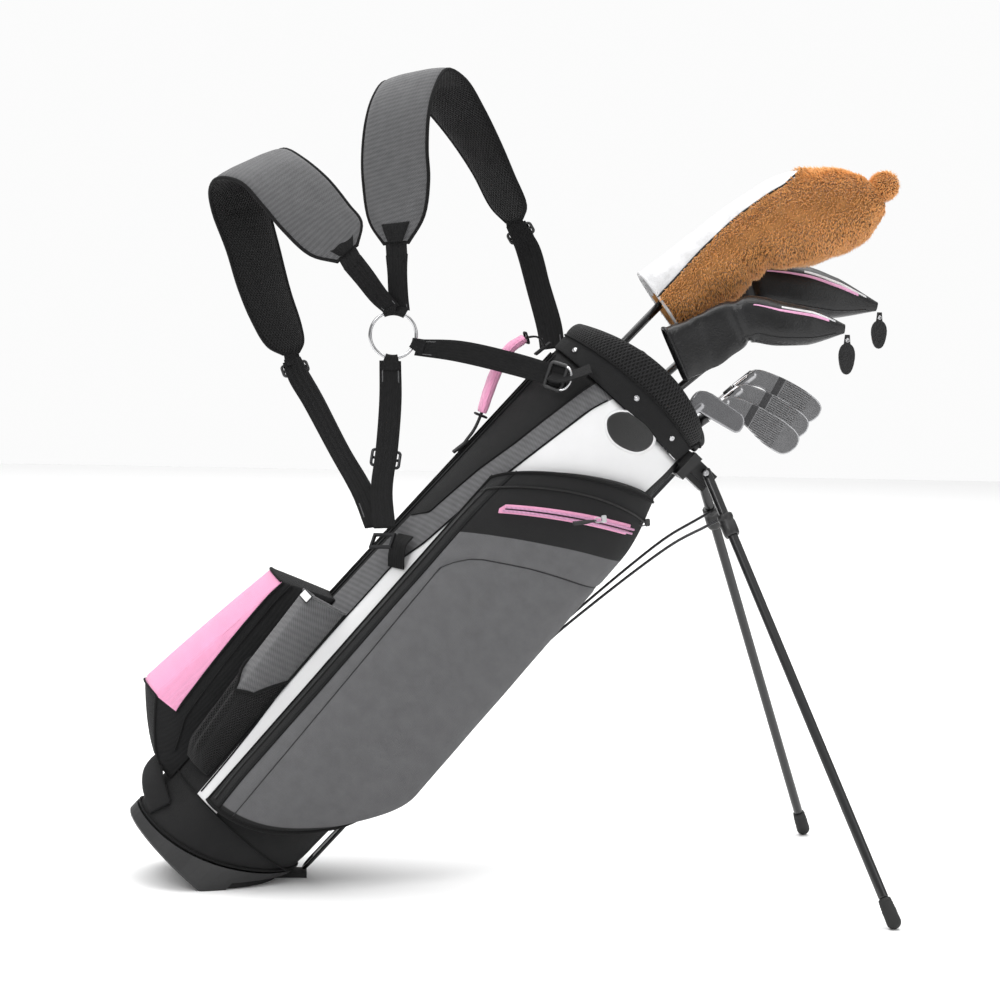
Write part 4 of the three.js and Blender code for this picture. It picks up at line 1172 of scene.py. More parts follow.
class GOLF_OT_big_pocket(bpy.types.Operator):
    """Builds the big side pocket with its zips, piping and hook patch"""

    bl_idname = "golf.big_pocket"
    bl_label = "Big Pocket"

    def execute(self, context):
        patch = PocketPatch(big_outline, big_depth)
        piece = patch.build("big_pocket", 110, 130, "pocket_cloth", wrinkle=0.7)
        stands_for(piece, "apparel_pocket")
        self.trim(patch)
        self.zips(patch)
        self.hook_patch()
        return {"FINISHED"}

    def trim(self, patch):
        for name, place, radius, steps in (
            ("pocket_edge_left", lambda t: patch.at(0.004, t, 0.6), 1.5, 120),
            ("pocket_edge_right", lambda t: patch.at(0.996, t, 0.6), 1.5, 120),
            ("pocket_edge_bottom", lambda t: patch.at(t, 0.004, 0.8), 2.2, 120),
            ("pocket_edge_top", lambda t: patch.at(t, 0.994, 0.6), 1.6, 120),
            ("pocket_band_piping", lambda t: patch.at(POCKET_BAND, t, 0.9), 1.2, 140),
        ):
            corded(name, sampled(place, 40), radius, steps=steps)

    def zips(self, patch):
        curved = [patch.at(lerp(0.03, 0.97, i / 30), 0.945 + 0.012 * math.sin(math.pi * i / 30), 0.7)
                  for i in range(31)]
        tube("pocket_top_zip", curved, 1.7, "black_zip", sides=10, steps=160, flat=0.7)
        side = sampled(lambda t: patch.at(0.055, lerp(0.02, 0.95, t), 0.6), 40)
        tube("pocket_side_zip", side, 1.9, "black_zip", sides=10, steps=200, flat=0.7)
        pull_space = facing(patch.at(0.93, 0.95, 4.0), (0.3, -1, 0.15), (0.67, 0, 0.74))
        self.puller("top_zip_puller", pull_space, "bag", "black_plastic", 17)
        columns, rows = 7, 60

        def tape(lift, half):
            def place(a, b):
                end = math.sqrt(max(0.0, 1 - max(0.0, (abs(b - 0.5) * 2 - 0.955) / 0.045) ** 2))
                spot = lerp(0.19, 0.83, b)
                across = (a - 0.5) * 2 * half * end
                level = lerp(0.888, 0.917, b) + across
                return patch.at(spot, level, lift * (1 - 0.5 * abs(a - 0.5) * 2))

            return place

        piece = sheet_grid("pink_zip_tape", rows, columns, tape(1.3, 0.0125), "pink_cloth")
        solidified(piece, 1.6)
        teeth = sampled(lambda t: patch.at(lerp(0.215, 0.85, t), lerp(0.8885, 0.9165, t), 1.1), 30)
        tube("pink_zip_teeth", teeth, 0.75, "black_zip", sides=8, steps=140)
        for shift, word in ((0.0047, "upper"), (-0.0047, "lower")):
            ridge = sampled(lambda t: patch.at(lerp(0.21, 0.855, t), lerp(0.888, 0.917, t) + shift, 1.5), 30)
            tube(f"pink_zip_ridge_{word}", ridge, 1.3, "pink_zip", sides=8, steps=140)
        low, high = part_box("zip_pull")
        middle = (low + high) / 2
        end = BAG_SPACE.inverted() @ Vector((middle.x, low.y, high.z - 0.002))
        space = facing(end / MM, (0.25, -1, 0.1), (0.67, 0, 0.74))
        slider = self.puller("pink_zip_slider", space, "zip", "satin_steel", 26)
        stands_for(slider, "zip_pull")

    def puller(self, name, space, body, metal, length):
        """A zip slider with a wire link and a corded tab hanging straight down."""
        slider = slab(name, oblong(4.2, 3.0, 1.6), 2.4, metal, body, space, 0.7)
        turns = [k * math.pi / 8 for k in range(16)]
        link = [(2.6 * math.cos(t), -6.5 + 4.5 * math.sin(t), 2.6) for t in turns]
        tube(f"{name}_link", link, 0.65, metal, body, 8, None, space, closed=True)
        tab = [(0, -9.5, 2.6), (0.4, -9.5 - length * 0.5, 2.4), (0.2, -9.5 - length, 1.4)]
        tube(f"{name}_tab", tab, lambda t: 1.3 + 1.3 * ease(t * 2.2), "soft_plastic", body, 12, 16, space,
             flat=0.6)
        return slider

    HOOK_ANGLE, HOOK_HEIGHT, HOOK_RADIUS = -82, 686, 88

    def hook_patch(self):
        outline = (
            (-10, 14), (12, 17), (27, 14), (32, 4), (27, -9), (14, -17), (-1, -20), (-13, -16), (-21, -6),
            (-18, 6),
        )
        ring = resample([(x, y, 0) for x, y in outline] + [(*outline[0], 0)], 49)[:-1]
        for name, grow, lift, look in (("hook_patch_border", 1.13, 0.9, "white_cloth"),
                                       ("hook_patch", 1.0, 2.1, "hook_patch")):
            verts = [self.bent(0, 0, lift + 0.25)]
            for scale in (0.5, 0.9, 1.0):
                for p in ring:
                    drop = 0.0 if scale < 1 else 0.9
                    verts.append(self.bent(p.x * grow * scale, p.y * grow * scale, lift - drop))
            n = len(ring)
            faces = [(0, 1 + k, 1 + (k + 1) % n) for k in range(n)]
            for level in range(2):
                base = 1 + level * n
                for k in range(n):
                    m = (k + 1) % n
                    faces.append((base + k, base + n + k, base + n + m, base + m))
            piece = new_piece(name, verts, faces, look, uv=[(v.x * MM, v.z * MM) for v in map(Vector, verts)])
            solidified(piece, 1.0)

    def bent(self, x, y, proud):
        angle = self.HOOK_ANGLE + math.degrees(x / self.HOOK_RADIUS)
        return on_shell(angle, self.HOOK_HEIGHT + y, proud)


def far_outline(a, b):
    return lerp(48, 140, a), lerp(150 - 30 * math.sin(math.pi * a), 455 + 12 * math.sin(math.pi * a), b)


def far_depth(a, b):
    edge = shoulder(a, 0.16) * shoulder(1 - a, 0.16) * shoulder(b, 0.14) * shoulder(1 - b, 0.14)
    dent = 1.2 * math.exp(-(((b - 0.8) / 0.012) ** 2))
    return 3 + 24 * edge - dent


def bottle_outline(a, b):
    return lerp(-153, -130 - 7 * b, a), lerp(96, 318 + 10 * a, b)


def bottle_depth(a, b):
    edge = shoulder(a + 0.12, 0.3) * shoulder(1 - a, 0.5)
    return 3 + edge * lerp(20, 46, b ** 0.8) * lerp(0.5, 1, shoulder(b, 0.1))


class GOLF_OT_small_pockets(bpy.types.Operator):
    """Builds the far, bottle and ball pockets"""

    bl_idname = "golf.small_pockets"
    bl_label = "Small Pockets"

    def execute(self, context):
        patch = PocketPatch(far_outline, far_depth)
        piece = patch.build("far_side_pocket", 60, 80, "grey_cloth", wrinkle=0.8)
        stands_for(piece, "far_pocket")
        loops = [(i / 20, 0.005) for i in range(21)] + [(0.995, i / 20) for i in range(1, 21)]
        loops += [(1 - i / 20, 0.995) for i in range(1, 21)] + [(0.005, 1 - i / 20) for i in range(1, 20)]
        corded("far_pocket_piping", [patch.at(a, b, 0.6) for a, b in loops], 1.6, steps=240)
        zip_line = sampled(lambda t: patch.at(lerp(0.12, 0.88, t), 0.8, 0.6), 20)
        tube("far_pocket_zip", zip_line, 1.7, "black_zip", sides=10, steps=120, flat=0.7)
        self.bottle()
        self.ball()
        return {"FINISHED"}

    def bottle(self):
        mouth = table([(0.0, 0.62), (0.2, 0.5), (0.5, 0.4), (0.8, 0.44), (1.0, 0.58)])
        columns, rows = 56, 90

        def place(a, b):
            folds = 1.2 * math.sin(a * 26 + b * 3) * (1 - ease((b - 0.3) * 4)) * ease(b * 8)
            step = 1.6 * (1 - ease((b - mouth(a)) * 30))
            sag = 5.5 * math.sin(math.pi * a) * ease((b - 0.85) * 6)
            angle, height = bottle_outline(a, b)
            loose = (folds + step) * ease(min(a, 1 - a) * 8)
            return on_shell(angle, height - sag, 0.8 + bottle_depth(a, b) + loose - 1.6)

        looks = ["pocket_netting", "grey_rib"]
        pick = lambda a, b: 1 if b > mouth(a) else 0
        piece = sheet_grid("bottle_pouch", rows, columns, place, looks, pick=pick)
        solidified(piece, 2.2)
        stands_for(piece, "bottle_pocket")
        lip = sampled(lambda t: place(t, mouth(t)) + shell_normal(bottle_outline(t, 0.5)[0]), 30)
        corded("bottle_netting_hem", lip, 1.8, steps=80)
        rim = sampled(lambda t: place(t, 1.0), 30)
        corded("bottle_pouch_rim", rim, 1.6, "grey_rib", 80)
        for a, word in ((0.0, "strap"), (1.0, "pocket")):
            side = sampled(lambda t: place(a, t), 30)
            corded(f"bottle_pouch_side_{word}", side, 1.6, steps=80)
        spot = place(0.47, 0.985)
        space = facing(spot + shell_normal(-140) * 1.2, shell_normal(-140), (0, 0, 1))
        tag = slab("blank_label", oblong(7.5, 4.2, 0.8), 0.8, "white_label", space=space, bevel=0.25)
        edge = slab("blank_label_edge", oblong(8.6, 5.3, 1.0), 0.6, "binding", space=space, bevel=0.2)

    def ball(self):
        def reach(b):
            rise = min(1.0, b / 0.24)
            return lerp(12, 86, rise ** 0.7) if b < 0.24 else lerp(86, 66, (b - 0.24) / 0.76)

        def place(a, b, c, out=0.0):
            """a -1..1 across, b 0..1 up, c 0..1 outward."""
            side = lerp(9, 8, c) + a * lerp(43, 38, c)
            height = lerp(62, 304, b) + 26 * (1 - c) * b
            t = height / BAG_LENGTH
            share = side / lerp(*SHELL_HALF_DEPTH, t)
            back = lerp(*SHELL_HALF_WIDTH, t) * math.sqrt(max(0.0, 1 - share ** 2))
            crown = 1 - 0.16 * a * a
            return Vector((-(back + 1.2 + c * reach(b) * crown) - out, side, height))

        size_a, size_b, size_c = 26, 44, 21

        def depth(p, q):
            """Columns of the sides gather so that one of them follows the edge of the pink panel."""
            edge = 1 - max(0.03, 0.52 * (1 - q) ** 1.15)
            return edge * p * 2 if p <= 0.5 else lerp(edge, 1.0, p * 2 - 1)

        verts, faces, uv, picks = [], [], [], []

        def wall(rows, columns, at, look):
            start = len(verts)
            for i in range(rows):
                for j in range(columns):
                    point = at(j / (columns - 1), i / (rows - 1))
                    verts.append(point)
                    uv.append((point.y * MM + point.x * MM * 0.3, (point.z + point.x * 0.4) * MM))
            for face in grid_faces(rows, columns):
                faces.append(tuple(v + start for v in face))
                i, j = divmod(face[0], columns)
                picks.append(look((j + 0.5) / (columns - 1), (i + 0.5) / (rows - 1)))

        dimple = lambda p, q: 2.2 * math.sin(math.pi * p) * math.sin(math.pi * q)
        low = 0.232
        front = lambda p, q: 0 if q > low else 1
        side = lambda p, q: 0 if q > low and p > 0.5 else 1
        dark = lambda p, q: 1

        def face(p, q):
            return place(p * 2 - 1, q, 1.0, dimple(p, q) + 0.5 * ripple(p * 200, q * 240))

        def lid(p, q):
            return place(p * 2 - 1, 1.0, depth(q, 1)) + Vector((0, 0, dimple(p, q) * 0.6))

        wall(size_b, size_a, face, front)
        wall(size_b, size_c, lambda p, q: place(-1, q, depth(p, q)) - Vector((0, dimple(p, q), 0)), side)
        wall(size_b, size_c, lambda p, q: place(1, q, depth(p, q)) + Vector((0, dimple(p, q), 0)), side)
        wall(size_c, size_a, lid, dark)
        wall(size_c, size_a, lambda p, q: place(p * 2 - 1, 0.0, depth(q, 0)), dark)
        wall(size_b, size_a, lambda p, q: place(p * 2 - 1, q, 0.0), dark)
        looks = ["pink_cloth", "black_cloth"]
        piece = new_piece("ball_pouch", verts, faces, looks, uv=uv, picks=picks)
        with edited(piece.data) as shape:
            bmesh.ops.remove_doubles(shape, verts=shape.verts, dist=WELD_DISTANCE)
        stands_for(piece, "ball_pocket")
        for a, word in ((-1, "near"), (1, "far")):
            below = sampled(lambda t: place(a, lerp(0, low, t), 1.0, 0.8), 6)
            corded(f"ball_pouch_edge_{word}", below, 1.7, steps=40)
            band = [place(a, t, depth(0.5, t)) + Vector((0, a * dimple(0.5, t) + a * 0.8, 0)) for t in
                    [lerp(low, 1.0, i / 20) for i in range(21)]]
            corded(f"ball_pouch_gusset_{word}", band, 1.3, steps=90)
            inner = [place(a, t, depth(0.5, t) - 0.16) + Vector((0, a * 2.0, 0)) for t in
                     [lerp(0.1, 1.0, i / 20) for i in range(21)]]
            corded(f"ball_pouch_seam_{word}", inner, 0.9, steps=90)
        top = [place(i / 10 - 1, 1.0, 1.0, 0.6) for i in range(21)]
        corded("ball_pouch_edge_top", top, 1.6, steps=60)
        hem = [place(i / 10 - 1, low, 1.0, 2.4 * math.cos((i / 10 - 1) * 1.4)) for i in range(21)]
        corded("ball_pouch_hem", hem, 1.3, steps=60)
        self.wrap_strap()

    def wrap_strap(self):
        """The padded loop near the base that holds an umbrella's tip."""
        path = [on_shell(-181, 96, 4), on_shell(-181, 76, 14), on_shell(-172, 58, 17), on_shell(-158, 46, 13),
                on_shell(-147, 38, 5), on_shell(-142, 34, 1)]
        swell = lambda t: 6 + 5 * math.sin(math.pi * t)
        piece = ribbon("umbrella_loop", path, 30, swell, "black_cloth", (0, 1, 0), steps=40, power=2.6)


# ------------------------------------------------------------------ handle and harness

HANDLE_ROUTE = [
    (-95.5, 0, 542), (-98, 0, 556), (-100, 0, 572), (-107, 0, 592), (-118, 0, 615),
    (-128, 0, 640), (-133, 0, 664), (-129, 0, 684), (-118, 0, 696), (-103.5, 0, 692),
]


def ribbon(name, points, width, thickness, look, turn, body="bag", steps=60, power=4.0, sides=20,
           space=BAG_SPACE):
    """A flat bar along points with rounded edges; width and thickness may be functions of 0..1."""
    path = resample(points, steps)
    section = []
    for k in range(sides):
        angle = 2 * math.pi * k / sides
        c, s = math.cos(angle), math.sin(angle)
        section.append((math.copysign(abs(c) ** (2 / power), c), math.copysign(abs(s) ** (2 / power), s)))
    verts, uv = [], []
    side, travelled = None, 0.0
    for i, point in enumerate(path):
        tangent = (path[min(i + 1, steps - 1)] - path[max(i - 1, 0)]).normalized()
        side = Vector(turn) if side is None else side
        side = (side - tangent * side.dot(tangent)).normalized()
        other = tangent.cross(side)
        t = i / (steps - 1)
        w = width(t) if callable(width) else width
        h = thickness(t) if callable(thickness) else thickness
        travelled += (point - path[max(i - 1, 0)]).length
        for c, s in section:
            verts.append(point + side * c * w / 2 + other * s * h / 2)
            uv.append((c * w / 2 * MM, travelled * MM))
    faces = grid_faces(steps, sides, wrap_columns=True)
    faces.append(tuple(reversed(range(sides))))
    faces.append(tuple(range((steps - 1) * sides, steps * sides)))
    return new_piece(name, verts, faces, look, body, space, uv)


class GOLF_OT_handle(bpy.types.Operator):
    """Builds the carry handle with its padded grip"""

    bl_idname = "golf.handle"
    bl_label = "Carry Handle"

    def execute(self, context):
        strap = ribbon("carry_strap", HANDLE_ROUTE, 24, 2.2, "webbing", (0, 1, 0), steps=80)
        stands_for(strap, "handle_strap")
        route = HANDLE_ROUTE[3:8]
        swell = lambda t: 31 + 4.5 * math.sin(math.pi * t) ** 0.5
        thick = lambda t: 9 + 3.5 * math.sin(math.pi * t) ** 0.4
        pad = ribbon("carry_grip", route, swell, thick, "pink_cloth", (0, 1, 0), steps=70, power=3.0,
                     sides=32)
        for vertex in pad.data.vertices:
            crease = math.sin(vertex.co.z * 420) * math.cos(vertex.co.y * 150)
            vertex.co.x += 0.0003 * crease
        stands_for(pad, "handle_grip")
        curve = spline(HANDLE_ROUTE)
        for t, word in ((0.315, "lower"), (0.795, "upper")):
            centre = curve(t)
            tangent = (curve(t + 0.01) - curve(t - 0.01)).normalized()
            space = facing(centre, tangent, (1, 0, 0))
            loop = oblong(16.6, 6.0, 5)
            tube(f"carry_grip_cord_{word}", [(x, y, 0) for x, y in loop], 1.3, "binding", "bag", 8, None,
                 space, closed=True)
        for side in (-1, 1):
            seam = []
            for i in range(24):
                t = lerp(0.34, 0.77, i / 23)
                seam.append(curve(t) + Vector((0, side * (16.4 + 1.9 * math.sin(math.pi * i / 23)), 0)))
            corded(f"carry_grip_seam_{'near' if side < 0 else 'far'}", seam, 1.0, "pink_cloth", 70)
        for z, x in ((548, -96.9), (690, -105)):
            patch = facing((x, 0, z), (-1, 0, 0.15), (0, 0, 1))
            plate = slab(f"carry_strap_patch_{z}", oblong(13, 11, 2.5), 2.4, "black_cloth", space=patch,
                         bevel=0.8)
        return {"FINISHED"}


PADS = {
    "left": (
        [(-338, -52, 602), (-365, -58, 587), (-403, -62, 586), (-439, -62, 590), (-472, -52, 592),
         (-494, -30, 579),
         (-493, -5, 564), (-475, 10, 549), (-435, 18, 529), (-397, 24, 507), (-362, 30, 491), (-330, 38, 482),
         (-311, 44, 487)],
        [(-335, -44, 630), (-349, -36, 652), (-370, -32, 656), (-407, -28, 661), (-443, -18, 659),
         (-465, 5, 653),
         (-468, 35, 633), (-441, 55, 601), (-392, 62, 568), (-353, 66, 543), (-319, 66, 524), (-304, 60, 512),
         (-300, 54, 501)],
    ),
    "right": (
        [(-314, -22, 652), (-342, -16, 659), (-375, -10, 684), (-398, -8, 707), (-420, -2, 736),
         (-433, 12, 762),
         (-436, 32, 785), (-416, 60, 798), (-374, 85, 799), (-334, 100, 795), (-292, 108, 786),
         (-252, 112, 773),
         (-228, 110, 772)],
        [(-296, -30, 671), (-304, -38, 704), (-327, -42, 736), (-350, -42, 758), (-374, -38, 786),
         (-389, -25, 812),
         (-395, -2, 840), (-372, 25, 849), (-337, 48, 842), (-296, 60, 828), (-260, 66, 813), (-226, 80, 799),
         (-218, 98, 787)],
    ),
}
WEBS = {
    "ring_left": (
        [(-328, -53, 601), (-307, -40, 599), (-280, -24, 596), (-262, -14, 597)],
        [(-325, -46, 625), (-304, -36, 622), (-277, -22, 617), (-256, -13, 615)],
    ),
    "ring_right": (
        [(-304, -20, 644), (-290, -13, 632), (-272, -8, 615), (-260, -6, 606)],
        [(-288, -27, 662), (-275, -16, 648), (-256, -9, 630), (-243, -6, 619)],
    ),
    "ring_side": (
        [(-214, -14, 603), (-180, -26, 633), (-125, -50, 666), (-76, -76, 690)],
        [(-206, -14, 586), (-169, -26, 612), (-112, -50, 645), (-64, -79, 670)],
    ),
    "ring_lower": (
        [(-230, -12, 555.5), (-201, -20, 524), (-167, -38, 481), (-142, -54, 446), (-112, -71, 418)],
        [(-212, -12, 571.5), (-182, -20, 540), (-149, -38, 498), (-124, -54, 462), (-95, -73, 435)],
    ),
    "pad_left": (
        [(-306, 44, 483), (-289, 40, 471), (-256, 28, 461), (-198, -4, 442), (-151, -34, 427),
         (-118, -58, 411)],
        [(-295, 54, 498), (-276, 48, 492), (-249, 34, 484), (-187, 0, 462), (-139, -30, 448),
         (-103, -60, 430)],
    ),
    "pad_right": (
        [(-224, 108, 768), (-198, 106, 756), (-158, 96, 731), (-118, 76, 704), (-102, 64, 690)],
        [(-213, 97, 785), (-183, 95, 778), (-144, 86, 754), (-104, 70, 729), (-84, 62, 712)],
    ),
}
LINKS = (("left", 0, "ring_left"), ("left", 1, "pad_left"), ("right", 0, "ring_right"),
         ("right", 1, "pad_right"))
RING_CENTRE = Vector((-238, -10, 586.5))
RING_RADIUS = 25.5
PAD_HALF = 5.5
SLOPE_STEP = 1e-4


class Band:
    """A strip between two edge curves, with its place and facing at any spot."""

    def __init__(self, edges):
        self.left, self.right = spline(edges[0]), spline(edges[1])

    def at(self, across, t, lift=0.0):
        """across runs -1..1 and t 0..1; lift is a distance along the strip's normal."""
        a, b = self.left(t), self.right(t)
        return a.lerp(b, (across + 1) / 2) + self.normal(t) * lift

    def normal(self, t):
        low, high = max(0.0, t - SLOPE_STEP), min(1.0, t + SLOPE_STEP)
        tangent = (self.left(high) - self.left(low)).normalized()
        tangent += (self.right(high) - self.right(low)).normalized()
        return (self.right(t) - self.left(t)).cross(tangent).normalized()

    def space(self, across, t, lift=0.0):
        ahead = self.at(across, min(1, t + 0.02)) - self.at(across, max(0, t - 0.02))
        return facing(self.at(across, t, lift), self.normal(t), ahead)


def strip_piece(name, band, steps, columns, half, looks, crown=None, pick=None):
    """A closed strip whose half thickness is scaled by crown(across, t)."""
    verts, uv = [], []
    loop = [(-1 + 2 * j / columns, 1) for j in range(columns + 1)]
    loop += [(1 - 2 * j / columns, -1) for j in range(columns + 1)]
    travelled = 0.0
    for i in range(steps):
        t = i / (steps - 1)
        if i:
            travelled += (band.at(0, t) - band.at(0, (i - 1) / (steps - 1))).length
        width = (band.right(t) - band.left(t)).length
        for across, face in loop:
            scale = crown(across, t, face) if crown else 1.0
            verts.append(band.at(across, t, face * half * scale))
            uv.append((across * width / 2 * MM, travelled * MM))
    sides = len(loop)
    faces = grid_faces(steps, sides, wrap_columns=True)
    picks = None
    if pick:
        picks = [pick(index % sides, sides) for index in range(len(faces))] + [0, 0]
    faces.append(tuple(reversed(range(sides))))
    faces.append(tuple(range((steps - 1) * sides, steps * sides)))
    return new_piece(name, verts, faces, looks, uv=uv, picks=picks)


class GOLF_OT_pads(bpy.types.Operator):
    """Builds the two padded shoulder straps"""

    bl_idname = "golf.pads"
    bl_label = "Shoulder Pads"

    def execute(self, context):
        for word, edges in PADS.items():
            self.pad(word, Band(edges))
        return {"FINISHED"}

    def pad(self, word, band):
        columns = 12

        def crown(across, t, face):
            ends = 0.3 + 0.7 * shoulder(t, 0.07) * shoulder(1 - t, 0.07)
            channel = 0.18 * math.exp(-(((abs(across) - 0.72) / 0.07) ** 2)) if face > 0 else 0.0
            round_edge = math.sqrt(max(0.0, 1 - across ** 4))
            wave = 0.86 + 0.1 * math.sin(t * 40 + across * 2) * 0.3
            return ends * (0.16 + 0.84 * round_edge) * wave - channel

        def pick(place, sides):
            return 1 if place >= sides // 2 else 0

        looks = ["pad_cloth", "pad_netting"]
        piece = strip_piece(f"pad_{word}", band, 96, columns, PAD_HALF, looks, crown, pick)
        self.puff(piece, columns)
        applied(smoothed(piece))
        stands_for(piece, f"shoulder_pad_{word}")
        self.binding(word, band)

    def puff(self, piece, columns):
        sides = 2 * (columns + 1)
        rows = len(piece.data.vertices) // sides
        seams = piece.vertex_groups.new(name="Seams")
        held = {0, columns, columns + 1, sides - 1}
        for index in range(len(piece.data.vertices)):
            row = index // sides
            if index % sides in held or row < 2 or row > rows - 3:
                seams.add([index], 1.0, "REPLACE")
        tucked(piece, "Puffed pad", cap=4.0)
        piece.vertex_groups.remove(seams)

    def binding(self, word, band):
        steps = 60
        edge = [band.at(-0.985, i / steps) for i in range(steps + 1)]
        edge += [band.at(-0.98 + 1.96 * i / 8, 0.997) for i in range(1, 8)]
        edge += [band.at(0.985, 1 - i / steps) for i in range(steps + 1)]
        edge += [band.at(0.98 - 1.96 * i / 8, 0.003) for i in range(1, 8)]
        tube(f"pad_binding_{word}", edge, 2.1, "binding", sides=10, closed=True)
        for t, end in ((0.035, "upper"), (0.965, "lower")):
            low, high = (t - 0.03, t + 0.035) if t < 0.5 else (t - 0.035, t + 0.03)

            def place(a, b):
                return band.at((a - 0.5) * 1.1, lerp(low, high, b), 4.4 - 1.2 * abs(b - 0.5))

            cover = sheet_grid(f"pad_patch_{word}_{end}", 6, 5, place, "webbing")
            solidified(cover, 1.6)


class GOLF_OT_webbing(bpy.types.Operator):
    """Builds the harness ring, its webbing and the adjusters"""

    bl_idname = "golf.webbing"
    bl_label = "Harness Webbing"

    def execute(self, context):
        ring = []
        for i in range(72):
            angle = 2 * math.pi * i / 72
            ring.append(RING_CENTRE + Vector((math.cos(angle), 0, math.sin(angle))) * RING_RADIUS)
        piece = tube("ring", ring, 1.9, "bright_steel", sides=14, closed=True)
        stands_for(piece, "harness_ring")
        for word, edges in WEBS.items():
            band = Band(edges)
            edge = lambda across, t, face: 0.45 if abs(across) > 0.99 else 1.0
            strap = strip_piece(f"strap_{word}", band, 60, 10, 1.0, "webbing", edge)
            stands_for(strap, f"web_{word}")
            self.stitches(word, band)
        for word, end in (("ring_left", 1.0), ("ring_right", 1.0), ("ring_side", 0.0), ("ring_lower", 0.0)):
            self.wrap(word, Band(WEBS[word]), end)
        for word, end, web in LINKS:
            self.link(word, end, web)
        self.adjuster("pad_left", 0.12)
        self.adjuster("pad_right", 0.1)
        self.adjuster("ring_lower", 0.55, wide=True)
        self.side_buckle()
        dress("anchor_loop", "black_steel")
        rounded(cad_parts["anchor_loop"], 0.9)
        self.anchor_tab()
        return {"FINISHED"}

    def wrap(self, word, band, t):
        """The end of a strap folded round the ring."""
        up = Vector((0, 1, 0))

        def place(a, b):
            start = band.at((a - 0.5) * 1.9, abs(t - 0.06))
            flat = start - RING_CENTRE
            flat.y = 0
            way = flat.normalized()
            wire = RING_CENTRE + way * RING_RADIUS
            if b < 0.22:
                return start.lerp(wire + up * 3.1, b / 0.22) + up * 1.4 * (1 - b / 0.22)
            if b > 0.78:
                return start.lerp(wire - up * 3.1, (1 - b) / 0.22) - up * 1.4 * (1 - (1 - b) / 0.22)
            turn = lerp(90, -90, (b - 0.22) / 0.56)
            return wire + up * 3.1 * math.sin(math.radians(turn)) - way * 3.1 * math.cos(math.radians(turn))

        piece = sheet_grid(f"strap_fold_{word}", 28, 7, place, "webbing")
        solidified(piece, 1.5, 0.0)

    def link(self, word, end, web):
        """The webbing that runs out of a pad's end and on into its strap."""
        pad, band = Band(PADS[word]), Band(WEBS[web])
        path = [pad.at(0, abs(end - 0.04)), pad.at(0, end), band.at(0, 0), band.at(0, 0.08)]
        width = (band.right(0) - band.left(0)).length - 1
        across = pad.right(end) - pad.left(end)
        piece = ribbon(f"strap_link_{web}", path, width, 2.4, "webbing", across, steps=30)

    def stitches(self, word, band):
        """A row of short thread runs boxed near the strap's stitched end."""
        end = 0.9 if word in ("ring_left", "ring_right", "pad_left", "pad_right") else 0.1
        verts, faces = [], []
        for i in range(14):
            t = end + (i - 7) * 0.006
            for across in (-0.72, 0.72):
                for face in (1, -1):
                    base = len(verts)
                    for da, dt in ((-0.05, -0.002), (0.05, -0.002), (0.05, 0.002), (-0.05, 0.002)):
                        verts.append(band.at(across + da, clamp(t + dt), face * 0.9))
                        verts.append(band.at(across + da, clamp(t + dt), face * 1.35))
                    q = [base + k for k in range(8)]
                    faces += [(q[0], q[2], q[4], q[6]), (q[1], q[3], q[5], q[7])]
                    for k in range(4):
                        faces.append((q[2 * k], q[(2 * k + 2) % 8], q[(2 * k + 3) % 8], q[2 * k + 1]))
        new_piece(f"strap_thread_{word}", verts, faces, "grey_cloth", smooth=False)

    def adjuster(self, word, t, wide=False):
        """A moulded slider that the strap is threaded through."""
        band = Band(WEBS[word])
        half = (band.right(t) - band.left(t)).length / 2 + 3
        space = band.space(0, t, 1.8)
        length = 9 if wide else 6
        frame_points = [(x, y, 0) for x, y in oblong(half, length, 3)]
        look = "black_steel" if wide else "black_plastic"
        tube(f"adjuster_{word}", frame_points, 1.7, look, "bag", 10, None, space, closed=True)
        bar = [(-half, 0, 1.2), (half, 0, 1.2)]
        tube(f"adjuster_{word}_bar", bar, 1.6, look, "bag", 10, 6, space)
        fold = [(0, -length - 4, 0.6), (0, -length + 1, 2.4), (0, 0, 3.4), (0, length - 1, 2.4),
                (0, length + 5, 0.8)]
        width = 2 * half - 7
        piece = ribbon(f"adjuster_{word}_fold", fold, width, 1.8, "webbing", (1, 0, 0), steps=24, space=space)

    def side_buckle(self):
        band = Band(WEBS["ring_side"])
        space = band.space(0, 0.93, 2.0)
        tube("side_buckle", [(x, y, 0) for x, y in oblong(14, 10, 4)], 2.2, "black_plastic", "bag", 10, None,
             space, closed=True)
        arc = [(13 * math.cos(a), 9 + 9 * math.sin(a), 1.2) for a in [math.pi * k / 12 for k in range(13)]]
        tube("side_half_ring", arc, 1.5, "bright_steel", "bag", 10, 30, space)
        tab = [band.at(0, 0.9, 3.2), band.at(0, 0.97, 3.6), Vector((-68, -82, 690)), Vector((-60, -84, 706))]
        piece = ribbon("side_tab", tab, 21, 2.2, "webbing", (0.55, 0, 0.6), steps=30)

    def anchor_tab(self):
        """The webbing that passes through the wire loop and is sewn to the tube."""
        path = [on_shell(-143, 436, 7), on_shell(-140, 424, 11), on_shell(-136, 413, 9),
                on_shell(-133, 403, 1.4)]
        piece = ribbon("anchor_tab", path, 23, 2.4, "webbing", (0.5, -0.5, 0.6), steps=30)


# ------------------------------------------------------------------ legs

LEG_PIVOT = Vector((122, 30, 713))
LEG_SWING, LEG_SPLAY = math.radians(65.9), math.radians(26.7)
LEG_AXIS = math.radians(63.3)
LEG_RADIUS = 5.5
COLLAR_FROM_PIVOT = 63
WIRE_ROUTE = [(121, 12, 441.5), (124, 15, 480), (146, 32, 630), (158, 39, 668), (165.5, 42, 690)]
SIDES = {"left": -1, "right": 1}


